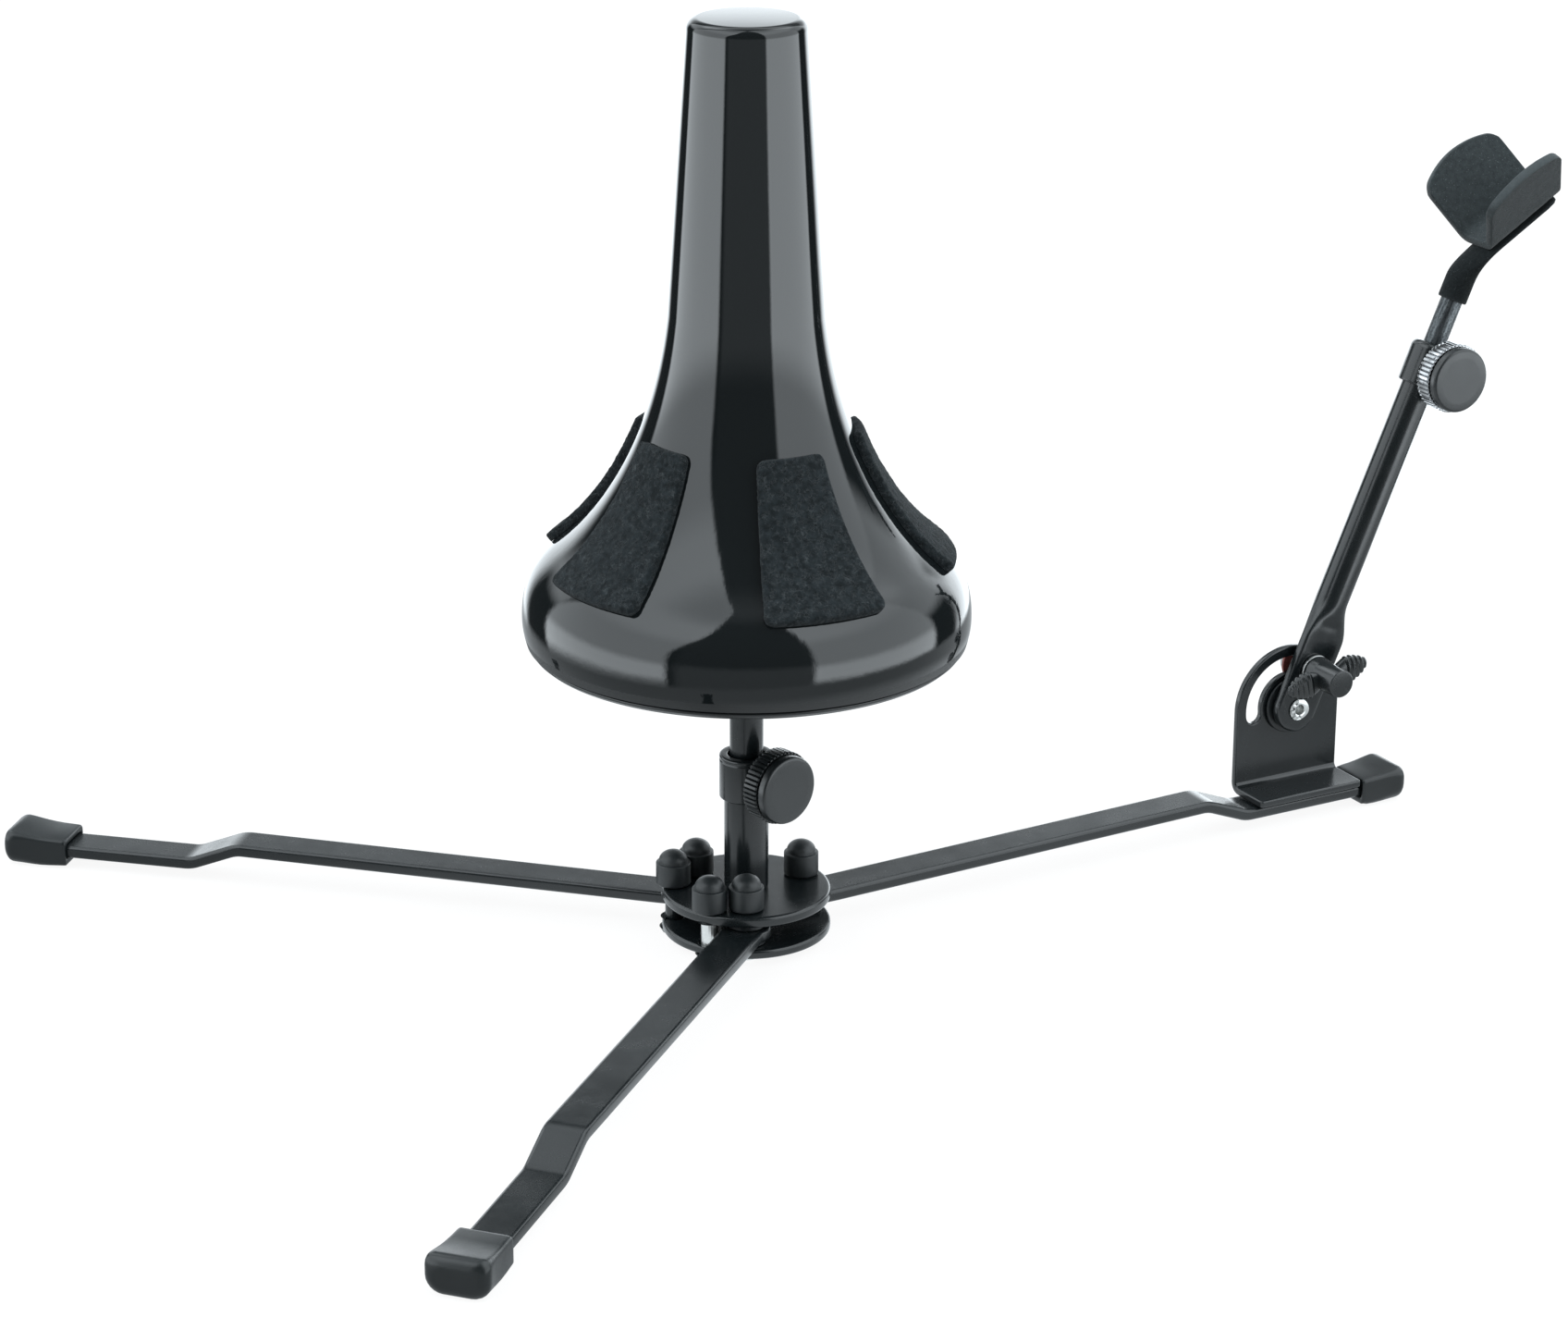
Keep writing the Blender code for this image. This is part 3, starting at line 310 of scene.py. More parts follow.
def quilt(places, upper, lower):
    """Closed sheet over a grid of (point, normal), reaching from lower to upper along the normals."""
    rows, cols = len(places), len(places[0])
    points = [point + normal * reach[i][j] for reach in (upper, lower)
              for i, row in enumerate(places) for j, (point, normal) in enumerate(row)]
    faces = []
    below = rows * cols
    for i in range(rows - 1):
        for j in range(cols - 1):
            corners = (i * cols + j, i * cols + j + 1, (i + 1) * cols + j + 1, (i + 1) * cols + j)
            faces.append(corners)
            faces.append(tuple(index + below for index in corners[::-1]))
    rim = [j for j in range(cols - 1)]
    rim += [i * cols + cols - 1 for i in range(rows - 1)]
    rim += [(rows - 1) * cols + j for j in range(cols - 1, 0, -1)]
    rim += [i * cols for i in range(rows - 1, 0, -1)]
    for first, second in zip(rim, rim[1:] + rim[:1]):
        faces.append((second, first, first + below, second + below))
    return points, faces


def eased(count, ends=0.75):
    """Shares from 0 to 1, closer together near both ends."""
    even = np.linspace(0, 1, count + 1)
    return (1 - ends) * even + ends * 0.5 * (1 - np.cos(math.pi * even))


def make_piece(name, shell, material, place=Matrix.Identity(4)):
    """Mesh object in the row frame from a shell in millimetres."""
    mesh = bpy.data.meshes.new(name)
    mesh.from_pydata([(place @ Vector(point)) * MM for point in shell[0]], [], shell[1])
    work = bmesh.new()
    work.from_mesh(mesh)
    bmesh.ops.remove_doubles(work, verts=work.verts, dist=MERGE)
    bmesh.ops.recalc_face_normals(work, faces=work.faces)
    work.to_mesh(mesh)
    work.free()
    mesh.materials.append(material)
    mesh.shade_smooth()
    mesh.set_sharp_from_angle(angle=SHARP_ANGLE)
    obj = bpy.data.objects.new(name, mesh)
    bpy.context.scene.collection.objects.link(obj)
    return obj


def cut(obj, shell, place):
    """Take a shell's volume out of a piece."""
    tool = make_piece("cutter", shell, obj.data.materials[0], place)
    modifier = obj.modifiers.new("Cut", "BOOLEAN")
    modifier.operation = "DIFFERENCE"
    modifier.solver = "EXACT"
    modifier.object = tool
    depsgraph = bpy.context.evaluated_depsgraph_get()
    mesh = bpy.data.meshes.new_from_object(obj.evaluated_get(depsgraph))
    obj.modifiers.clear()
    obj.data = mesh
    bpy.data.objects.remove(tool, do_unlink=True)
    mesh.set_sharp_from_angle(angle=SHARP_ANGLE)


def stand_for(node, obj):
    """The piece replaces a CAD node and rides on its body."""
    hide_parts(node)
    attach(obj, BODY_OF[node])
    return obj


def detail(node, shell, slot, place=Matrix.Identity(4), material=None):
    """Detailed piece in place of a CAD node."""
    obj = make_piece(node + "_detail", shell, material or FINISH[slot], place)
    return stand_for(node, obj)


# ---------------------------------------------------------------- materials

class Graph:
    """Node tree of one material, built with short calls."""

    def __init__(self, name):
        self.material = bpy.data.materials.new(name)
        self.material.use_nodes = True
        self.tree = self.material.node_tree
        self.shader = self.tree.nodes["Principled BSDF"]
        self.coords = self.add("ShaderNodeTexCoord").outputs["Object"]

    def add(self, kind, inputs=None, **settings):
        """Node with its settings and its inputs linked or filled."""
        node = self.tree.nodes.new(kind)
        for key, value in settings.items():
            setattr(node, key, value)
        for key, value in (inputs or {}).items():
            self.put(node.inputs[key], value)
        return node

    def put(self, socket, value):
        """Link a socket to an output, or fill it."""
        if isinstance(value, bpy.types.NodeSocket):
            self.tree.links.new(value, socket)
        else:
            socket.default_value = value

    def set(self, **values):
        """Inputs of the shader; underscores stand for spaces."""
        for key, value in values.items():
            self.put(self.shader.inputs[key.replace("_", " ")], value)

    def stretched(self, scale, turn=(0, 0, 0)):
        """Coordinates scaled differently along each axis after a turn."""
        spun = self.add("ShaderNodeMapping", {"Vector": self.coords, "Rotation": turn})
        return self.add("ShaderNodeMapping", {"Vector": spun.outputs[0], "Scale": scale}).outputs[0]

    def noise(self, size, detail=2.0, rough=0.5, coords=None, warp=0.0):
        """Noise whose features are about size millimetres across."""
        node = self.add("ShaderNodeTexNoise", {
            "Vector": coords or self.coords, "Scale": 1 / (size * MM), "Detail": detail,
            "Roughness": rough, "Distortion": warp})
        return node.outputs[0]

    def cells(self, size, coords=None, feature="F1"):
        """Distance pattern of cells about size millimetres across."""
        node = self.add("ShaderNodeTexVoronoi", {"Vector": coords or self.coords, "Scale": 1 / (size * MM)},
                        feature=feature)
        return node.outputs["Distance"]

    def spread(self, value, low, high, to_low=0.0, to_high=1.0):
        """Value mapped from one range to another, with soft ends."""
        node = self.add("ShaderNodeMapRange", {
            "Value": value, "From Min": low, "From Max": high, "To Min": to_low, "To Max": to_high},
            interpolation_type="SMOOTHSTEP")
        return node.outputs[0]

    def math(self, operation, first, second=0.0):
        """Arithmetic on two values."""
        node = self.add("ShaderNodeMath", {0: first, 1: second}, operation=operation)
        return node.outputs[0]

    def blend(self, share, first, second):
        """Colour between two colours."""
        node = self.add("ShaderNodeMix", data_type="RGBA")
        self.put(node.inputs["Factor"], share)
        colors = [socket for socket in node.inputs if socket.type == "RGBA"]
        self.put(colors[0], first if isinstance(first, bpy.types.NodeSocket) else (*first, 1.0))
        self.put(colors[1], second if isinstance(second, bpy.types.NodeSocket) else (*second, 1.0))
        return [out for out in node.outputs if out.type == "RGBA"][0]

    def bump(self, height, depth, strength=1.0, under=None):
        """Bump of depth millimetres, on top of another bump."""
        inputs = {"Height": height, "Distance": depth * MM, "Strength": strength}
        node = self.add("ShaderNodeBump", inputs)
        if under:
            self.put(node.inputs["Normal"], under)
        return node.outputs[0]


def edge_share(graph, low=0.52, high=0.60):
    """How exposed a spot is: 1 on a convex edge."""
    geometry = graph.add("ShaderNodeNewGeometry")
    return graph.spread(geometry.outputs["Pointiness"], low, high)


def coated(name, color, roughness, grain, depth, wear=0.25, level=0.5):
    """Painted or moulded black surface: fine grain, uneven gloss and slightly rubbed edges."""
    g = Graph(name)
    patches = g.noise(26, 3, 0.6)
    fine = g.noise(grain, 2, 0.55)
    tone = g.blend(g.spread(patches, 0.3, 0.7), [c * 0.86 for c in color], [c * 1.14 for c in color])
    rub = g.math("MULTIPLY", edge_share(g), g.spread(g.noise(1.6, 4, 0.7), 0.42, 0.66, 0.2, 1.0))
    rub = g.math("MULTIPLY", rub, wear)
    tone = g.blend(rub, tone, [c * 2.6 + 0.012 for c in color])
    gloss = g.spread(g.noise(9, 4, 0.65), 0.3, 0.72, roughness - 0.04, roughness + 0.05)
    gloss = g.math("ADD", gloss, g.spread(fine, 0.35, 0.7, -0.015, 0.02))
    normal = g.bump(g.noise(11, 2, 0.5), depth * 3.0, 0.5)
    g.set(Base_Color=tone, Roughness=gloss, IOR=1.5, Specular_IOR_Level=level,
          Normal=g.bump(fine, depth, 1.0, normal))
    return g.material


SHELL_SEAM = 77.5                   # height where the shell's gloss gives way to its satin foot
SEAM_HALF = 0.15


def gloss_shell():
    """Deep gloss moulded shell: long soft waves, ripples low down, a satin band along its foot."""
    g = Graph("gloss_shell")
    color = (0.0046, 0.0062, 0.0067)
    up = g.add("ShaderNodeSeparateXYZ", {"Vector": g.coords}).outputs["Z"]
    low = g.spread(up, 0.085, 0.135, 1.0, 0.22)
    waves = g.noise(24, 1.5, 0.4)
    ripple = g.math("MULTIPLY", g.noise(2.6, 3, 0.6, warp=0.3), low)
    normal = g.bump(waves, 0.30, 0.35)
    normal = g.bump(ripple, 0.045, 0.45, normal)
    scuff = g.noise(1.1, 4, 0.7, g.stretched((3.0, 3.0, 0.25)))
    dust_and_painted_top_light = g.spread(g.noise(0.5, 3, 0.7), 0.62, 0.80)
    tone = g.blend(g.math("MULTIPLY", dust_and_painted_top_light, 0.05), color, (0.10, 0.11, 0.115))
    gloss = g.spread(scuff, 0.40, 0.75, 0.035, 0.085)
    foot = g.spread(up, (SHELL_SEAM - SEAM_HALF) * MM, (SHELL_SEAM + SEAM_HALF) * MM, 1.0, 0.0)
    satin = g.spread(g.noise(0.5, 2, 0.6), 0.3, 0.7, 0.34, 0.46)
    blended = g.add("ShaderNodeMix", {"Factor": foot, "A": gloss, "B": satin}).outputs["Result"]
    g.set(Base_Color=tone, Roughness=blended, IOR=1.5, Normal=normal)
    return g.material


def tangled(g, sizes, width):
    """Tangle of thin threads: edges of warped cells at several sizes and turns."""
    swirl = g.add("ShaderNodeTexNoise", {"Vector": g.coords, "Scale": 650.0, "Detail": 2.0})
    shift = g.add("ShaderNodeVectorMath", {0: swirl.outputs[1]}, operation="SCALE")
    shift.inputs["Scale"].default_value = 0.0022
    warped = g.add("ShaderNodeVectorMath", {0: g.coords, 1: shift.outputs[0]}, operation="ADD")
    threads = None
    for size, turn in sizes:
        spun = g.add("ShaderNodeMapping", {
            "Vector": warped.outputs[0], "Rotation": (turn, turn * 1.7, turn * 0.6)})
        web = g.cells(size, spun.outputs[0], "DISTANCE_TO_EDGE")
        thread = g.spread(web, 0.0, width, 1.0, 0.0)
        threads = thread if threads is None else g.math("MAXIMUM", threads, thread)
    return threads


def felt():
    """Pressed wool felt: tangled light fibres over a dark body."""
    g = Graph("felt")
    fibres = tangled(g, ((1.5, 0.4), (1.0, 1.7), (2.3, 2.6), (0.7, 3.3)), 0.035)
    clumps = g.noise(1.7, 4, 0.7)
    broken = g.math("MULTIPLY", fibres, g.spread(g.noise(1.5, 2, 0.6), 0.40, 0.66))
    tone = g.blend(g.spread(clumps, 0.34, 0.68), (0.0055, 0.0078, 0.0088), (0.0175, 0.0225, 0.0250))
    tone = g.blend(g.math("MULTIPLY", broken, 0.55), tone, (0.085, 0.098, 0.103))
    height = g.math("ADD", clumps, g.math("MULTIPLY", broken, 0.30))
    normal = g.bump(height, 0.50, 0.9)
    normal = g.bump(g.noise(0.28, 3, 0.7), 0.12, 0.9, normal)
    g.set(Base_Color=tone, Roughness=0.96, Specular_IOR_Level=0.12, Sheen_Weight=0.05,
          Sheen_Roughness=0.45, Normal=normal)
    return g.material


def flock(name, painted_shade_factor):
    """Rubbery flocked coating: short even pile with light hairs, painted light where it faces up, a painted
    highlight along its edges, and a painted shade factor that darkens the whole coating.
    """
    g = Graph(name)
    pile = g.noise(0.34, 3, 0.75)
    lumps = g.noise(1.2, 3, 0.6)
    # Painted shade: a factor below 1 darkens the colour, specks, sheen and gloss, giving a shaded copy of the
    # coating.
    tone = g.blend(g.spread(pile, 0.3, 0.7), [c * painted_shade_factor for c in (0.0085, 0.0112, 0.0120)],
                   [c * painted_shade_factor for c in (0.022, 0.028, 0.030)])
    facing_up = g.add("ShaderNodeTexCoord").outputs["Normal"]
    facing_up = g.add("ShaderNodeSeparateXYZ", {"Vector": facing_up}).outputs["Z"]
    # Painted light: faces that point up are made lighter in patches, as if lit from above.
    dust_and_painted_top_light = g.math("MULTIPLY", g.spread(facing_up, 0.0, 0.55),
                  g.spread(lumps, 0.25, 0.75, 0.35 * painted_shade_factor * painted_shade_factor, 0.75 * painted_shade_factor * painted_shade_factor))
    tone = g.blend(dust_and_painted_top_light, tone, (0.050, 0.060, 0.063))
    specks = g.spread(g.cells(0.55), 0.05, 0.24, 1.0, 0.0)
    specks = g.math("MULTIPLY", specks, g.spread(g.noise(0.9, 2, 0.6), 0.44, 0.60))
    tone = g.blend(g.math("MULTIPLY", specks, 0.75 * painted_shade_factor), tone, (0.17, 0.19, 0.195))
    # Painted highlight: convex edges are made lighter, as a lit edge line.
    tone = g.blend(g.math("MULTIPLY", edge_share(g, 0.515, 0.60), 0.60 * painted_shade_factor), tone, (0.11, 0.125, 0.13))
    normal = g.bump(lumps, 0.05, 0.6)
    normal = g.bump(pile, 0.14, 1.0, normal)
    g.set(Base_Color=tone, Roughness=0.86, Specular_IOR_Level=0.22 * painted_shade_factor, Sheen_Weight=0.12 * painted_shade_factor,
          Sheen_Roughness=0.35, Normal=normal)
    return g.material


def plated(name, color, roughness, streak, dull, depth=0.02):
    """Plated metal with drawn streaks and duller patches."""
    g = Graph(name)
    lines = g.noise(0.9, 4, 0.65, g.stretched(streak))
    patches = g.noise(5, 4, 0.7)
    tone = g.blend(g.spread(patches, 0.35, 0.72), color, [c * dull for c in color])
    gloss = g.spread(lines, 0.3, 0.72, roughness - 0.06, roughness + 0.12)
    g.set(Base_Color=tone, Metallic=1.0, Roughness=gloss, Normal=g.bump(lines, depth, 0.6))
    return g.material


def galvanised_rod():
    """Zinc-plated rod: dull grey, with drawn lines along it and darker rubbed stretches."""
    g = Graph("galvanised_rod")
    tilt = math.atan2(ARM_AXIS.x, ARM_AXIS.z)
    lines = g.noise(0.5, 4, 0.7, g.stretched((1.0, 1.0, 0.10), (0, -tilt, 0)))
    grain = g.noise(0.45, 3, 0.7)
    tone = g.blend(g.spread(lines, 0.36, 0.64), (0.105, 0.114, 0.119), (0.034, 0.038, 0.041))
    tone = g.blend(g.spread(grain, 0.50, 0.72), tone, (0.016, 0.018, 0.020))
    gloss = g.spread(grain, 0.3, 0.7, 0.34, 0.52)
    g.set(Base_Color=tone, Metallic=1.0, Roughness=gloss, Normal=g.bump(grain, 0.03, 0.7))
    return g.material


def red_fibre():
    """Vulcanised fibre washer: dull red with a pressed grain."""
    g = Graph("red_fibre")
    strands = g.noise(0.5, 4, 0.7, g.stretched((1.0, 0.3, 1.0)))
    tone = g.blend(g.spread(strands, 0.3, 0.7), (0.12, 0.024, 0.020), (0.22, 0.055, 0.042))
    g.set(Base_Color=tone, Roughness=0.62, Normal=g.bump(strands, 0.05, 0.8))
    return g.material


FINISH = {
    "powder_coat": coated("powder_coat", (0.0058, 0.0080, 0.0088), 0.23, 0.50, 0.0026),
    "gloss_shell": gloss_shell(),
    "black_plastic": coated("black_plastic", (0.0062, 0.0082, 0.0090), 0.34, 0.32, 0.006, 0.2, 0.42),
    "rubber": coated("rubber", (0.0072, 0.0098, 0.0106), 0.33, 0.40, 0.010, 0.30, 0.42),
    "felt": felt(),
    "flock": flock("flock", 1.0),
    "zinc": plated("zinc", (0.62, 0.63, 0.62), 0.30, (1.0, 1.0, 0.35), 0.72),
    "chrome": plated("chrome", (0.40, 0.41, 0.42), 0.11, (1.0, 1.0, 1.0), 0.80, 0.008),
    "red_fibre": red_fibre(),
}
ROD_FINISH = galvanised_rod()
COVER_FINISH = coated("cover_plastic", (0.0062, 0.0080, 0.0086), 0.34, 0.5, 0.008, 0.15)
NUT_FINISH = coated("nut_plastic", (0.0085, 0.0105, 0.0112), 0.26, 0.35, 0.006, 0.6)
KNOB_FACE = coated("knob_plastic", (0.0075, 0.0099, 0.0108), 0.33, 0.32, 0.005, 0.2, 0.52)
CAP_NUT_FINISH = coated("cap_nut_plastic", (0.0085, 0.0112, 0.0122), 0.46, 0.32, 0.008, 0.35, 0.5)
# Darker copy of the flock for the neck and tab: painted shade.
NECK_PAINTED_SHADE_FINISH = flock("flock_neck_painted_shade", 0.42)


# ---------------------------------------------------------------- hub and legs

BOLT_HOLE = 2.3
HUB_CENTRE_HOLE = 2.8


def hub_points():
    """Places of the five hub bolts, from the frame."""
    return {label: centre_mm(label + "_bolt")
            for label in ("arm_leg", "left_pivot", "right_pivot", "left_stop", "right_stop")}


def build_hub_plates():
    """Two round plates with rolled edges and their bolt holes."""
    holes = [circle((spot.x, spot.y), BOLT_HOLE) for spot in hub_points().values()]
    holes.append(circle((COLUMN_AXIS.x, COLUMN_AXIS.y), HUB_CENTRE_HOLE))
    for node in ("hub_top_plate", "hub_bottom_plate"):
        low, high = box_mm(node)
        rim = circle((COLUMN_AXIS.x, COLUMN_AXIS.y), (high.x - low.x) / 2, 144)
        shell = plate([rim] + holes, high.z - low.z, 0.75, 5)
        detail(node, shell, "powder_coat", Matrix.Translation((0, 0, (low.z + high.z) / 2)))


LEG_THICKNESS = 3.0
LEG_HALF_WIDTH = 5.0
LEG_EDGE = 0.85
LEG_EYE = 5.8                       # radius of the round end at the bolt
LEG_HUB = (8.0, 6.9, 30.0)          # bends of the bar's middle: along the leg, height, radius
LEG_KNEE = (115.0, 8.6, 9.0)
LEG_ANKLE = (126.7, 4.0, 9.0)
LEG_END = 172.0
LEG_SQUARE_END = 5                  # straight length kept before the outer end


def leg_shell(eye, holes):
    """Flat bar with rounded edges, bent to its joggle. x runs from the bolt along the leg."""
    path = rounded([(eye - LEG_EYE, LEG_HUB[1]), LEG_HUB, LEG_KNEE, LEG_ANKLE, (LEG_END, LEG_ANKLE[1])],
                   steps=9)
    end = eye - LEG_EYE + walked(path)[-1]
    shoulder = math.asin(LEG_HALF_WIDTH / LEG_EYE)
    side = end - LEG_SQUARE_END
    outline = rounded([(end, -LEG_HALF_WIDTH, 0.6), (end, LEG_HALF_WIDTH, 0.6), (side, LEG_HALF_WIDTH)])
    outline += arc((eye, 0), LEG_EYE, shoulder, 2 * math.pi - shoulder, 30)
    outline += [(side, -LEG_HALF_WIDTH)]
    sheet = plate([outline] + [circle((x, 0), radius) for x, radius in holes], LEG_THICKNESS, LEG_EDGE, 4)
    return bent(moved(sheet, Matrix.Translation((LEG_EYE - eye, 0, 0))), path)


def leg_place(angle, pivot):
    """Frame at a leg's bolt with x along the leg."""
    turn = Matrix.Rotation(angle, 4, "Z")
    return Matrix.Translation((pivot.x, pivot.y, 0)) @ turn


def foot_ring(x, width, bottom, top, corner, sole=None, steps=6):
    """Rounded rectangle across the leg; its two lower corners may have their own radius."""
    limit = min(width / 2, (top - bottom) / 2) - 0.01
    upper = min(corner, limit)
    lower = min(sole or corner, limit)
    half = width / 2
    points = []
    for quarter, (y, z, radius) in enumerate((
            (half - upper, top - upper, upper), (upper - half, top - upper, upper),
            (lower - half, bottom + lower, lower), (half - lower, bottom + lower, lower))):
        start = quarter * math.pi / 2
        points += arc((y, z), radius, start, start + math.pi / 2, steps)
    return [(x, y, z) for y, z in points]


# Sections of the rubber foot: place along the leg, width, bottom, top, corner radius, sole's corner radius.
FOOT_MOUTH = ((3.0, 10.5, 2.25, 5.75, 0.7), (0.35, 10.5, 2.25, 5.75, 0.7), (0.06, 10.9, 1.95, 6.05, 0.8),
              (0.0, 11.4, 1.45, 6.55, 0.9), (0.06, 11.9, 0.90, 7.08, 1.0), (0.30, 12.18, 0.66, 7.34, 1.05),
              (0.9, 12.25, 0.58, 7.42, 1.1))                       # from the start of the foot
FOOT_BODY = ((163.4, 12.42, 0.28, 7.50, 1.0, 1.3), (165.6, 12.62, 0.08, 7.66, 1.05, 1.7),
             (167.6, 12.90, 0.0, 7.90, 1.15, 2.2), (169.4, 13.24, 0.0, 8.20, 1.3, 2.7),
             (171.0, 13.66, 0.0, 8.52, 1.6, 3.2), (172.0, 13.96, 0.0, 8.72, 1.9, 3.5),
             (172.6, 14.12, 0.0, 8.84, 2.1, 3.7))                  # from the bolt
FOOT_BODY_GAP = 1.2                 # least distance from the mouth to the first of them
FOOT_END = (172.7, 14.2, 8.88, 2.4, 3.8)    # where the round end starts: place, width, top, radii
FOOT_END_LENGTH = 2.35
FOOT_END_DROP = 2.6                 # how far its top comes down


def foot_shell(start):
    """Flared rubber cap: rounded mouth round the leg, flat sole, full round end."""
    rings = [foot_ring(start + x, *section) for x, *section in FOOT_MOUTH]
    rings += [foot_ring(*section) for section in FOOT_BODY if section[0] > start + FOOT_BODY_GAP]
    x, width, top, corner, sole = FOOT_END
    for share in (0.15, 0.3, 0.45, 0.6, 0.72, 0.83, 0.92, 0.98):
        angle = share * math.pi / 2
        drop = FOOT_END_DROP * (1 - math.cos(angle)) ** 1.15
        rings.append(foot_ring(x + FOOT_END_LENGTH * math.sin(angle), width - 2 * drop, 0.95 * drop,
                               top - drop, corner, sole))
    return loft(rings)


FIXED_FOOT_START = 161.6
FOLDING_FOOT_START = 158.8


def build_legs():
    """Fixed leg and the two folding legs, each with its rubber foot."""
    bolt = hub_points()["arm_leg"]
    inset = bolt.x - COLUMN_AXIS.x
    fixed = leg_place(0, bolt)
    shell = leg_shell(-inset, [(0, BOLT_HOLE), (-inset, HUB_CENTRE_HOLE)])
    detail("arm_leg", shell, "powder_coat", fixed)
    detail("arm_leg_foot", foot_shell(FIXED_FOOT_START), "rubber", fixed)
    for side, sign in (("left", 1), ("right", -1)):
        place = leg_place(sign * OPEN_ANGLE, joint_mm(side + "_leg_fold"))
        detail(side + "_leg", leg_shell(0, [(0, BOLT_HOLE)]), "powder_coat", place)
        detail(side + "_leg_foot", foot_shell(FOLDING_FOOT_START), "rubber", place)


NUT_SKIRT = 5.5                     # height of the skirt
NUT_HEAD = 3.45                     # radius of the round head
NUT_STEP = 0.25                     # height of the shoulder between them
NUT_BORE = 4.2                      # depth of its bore


def build_cap_nuts():
    """Domed cap nuts: plain skirt, small shoulder, round head."""
    for label, spot in hub_points().items():
        node = label + "_cap_nut"
        low, high = box_mm(node)
        shoulder = low.z + NUT_SKIRT
        radius = (high.x - low.x) / 2
        lift = (high.z - shoulder) - NUT_STEP
        dome = [(NUT_HEAD * math.cos(a), shoulder + NUT_STEP + lift * math.sin(a))
                for a in np.linspace(math.pi / 2, 0, 12)]
        dome[0] = (0, high.z)
        skirt = rounded([dome[-1], (NUT_HEAD + 0.02, shoulder - 0.10, 0.08),
                         (radius - 0.02, shoulder - 0.16, 0.22), (radius, low.z, 0.35),
                         (BOLT_HOLE, low.z, 0.2), (BOLT_HOLE, low.z + NUT_BORE)])
        profile = dome[:-1] + skirt + [(0, low.z + NUT_BORE)]
        detail(node, revolve(profile, 56), "powder_coat", Matrix.Translation((spot.x, spot.y, 0)),
               CAP_NUT_FINISH)


# ---------------------------------------------------------------- column, knobs

TUBE_RADIUS = 5.25
TUBE_BORE = 4.25
KNOB_RING = (8.75, 8.4, 12.7)       # radius, inner and outer end along the knob's axis
KNOB_CAP = (8.2, 13.0, 15.2)
KNOB_TEETH = 48
KNOB_GROOVE = 0.55                  # depth of its grooves
KNOB_BORE = 2.3
GROOVE_SHAPE = ((0.00, 0.0), (0.26, 0.0), (0.52, 0.0), (0.60, 0.5), (0.76, 1.0), (0.92, 0.5))
BOSS_RADIUS = 3.4
BOSS_BORE = 2.2
BOSS_END = 8.0


def knob_place(knob_joint, body_axis):
    """Frame on a clamp's tube axis with z pointing out through the knob."""
    origin = joint_mm(knob_joint)
    direction = Vector(JOINTS[knob_joint]["axis"])
    side = Vector(body_axis).cross(direction)
    return axes(origin, side, direction)


def knurled_outline(radius, depth, teeth):
    """Teeth with flat tops and narrow round grooves."""
    outline = []
    for tooth in range(teeth):
        for share, drop in GROOVE_SHAPE:
            angle = 2 * math.pi * (tooth + share) / teeth
            reach = radius - depth * drop
            outline.append((reach * math.cos(angle), reach * math.sin(angle)))
    return outline


def build_knob(prefix, knob_joint, tube_axis, shift, ring_slot):
    """Knurled ring and satin cap of a clamp knob."""
    place = knob_place(knob_joint, tube_axis) @ Matrix.Translation((0, 0, shift))
    radius, start, end = KNOB_RING
    outline = knurled_outline(radius, KNOB_GROOVE, KNOB_TEETH)
    ring = plate([outline, circle((0, 0), KNOB_BORE)], end - start, 0.35, 3, radial=True)
    detail(prefix + "_knob_ring", ring, ring_slot, place @ Matrix.Translation((0, 0, (start + end) / 2)))
    radius, start, end = KNOB_CAP
    cap = rounded([(0, end), (radius - 2.4, end - 0.02, 2.0), (radius, end - 0.12, 0.85),
                   (radius, start, 0.25), (radius - 1.0, start), (0, start)])
    detail(prefix + "_knob_cap", revolve(cap, 96), "black_plastic", place, KNOB_FACE)


def boss_shell(place, inner, outer):
    """Round boss that carries the clamp screw."""
    profile = rounded([(BOSS_BORE, outer), (BOSS_RADIUS, outer, 0.3), (BOSS_RADIUS, inner),
                       (BOSS_BORE, inner)], closed=True)
    return moved(revolve(profile, 40, closed=True), place)


COLLAR_OUTER = 6.4
COLLAR_INNER = 5.4
COLLAR_LIP = 4.5                    # bore of the lip that the rod slides in
COLLAR_KNOB_Z = 40.85               # height of the knob's axis
COLLAR_BOSS_START = 5.6


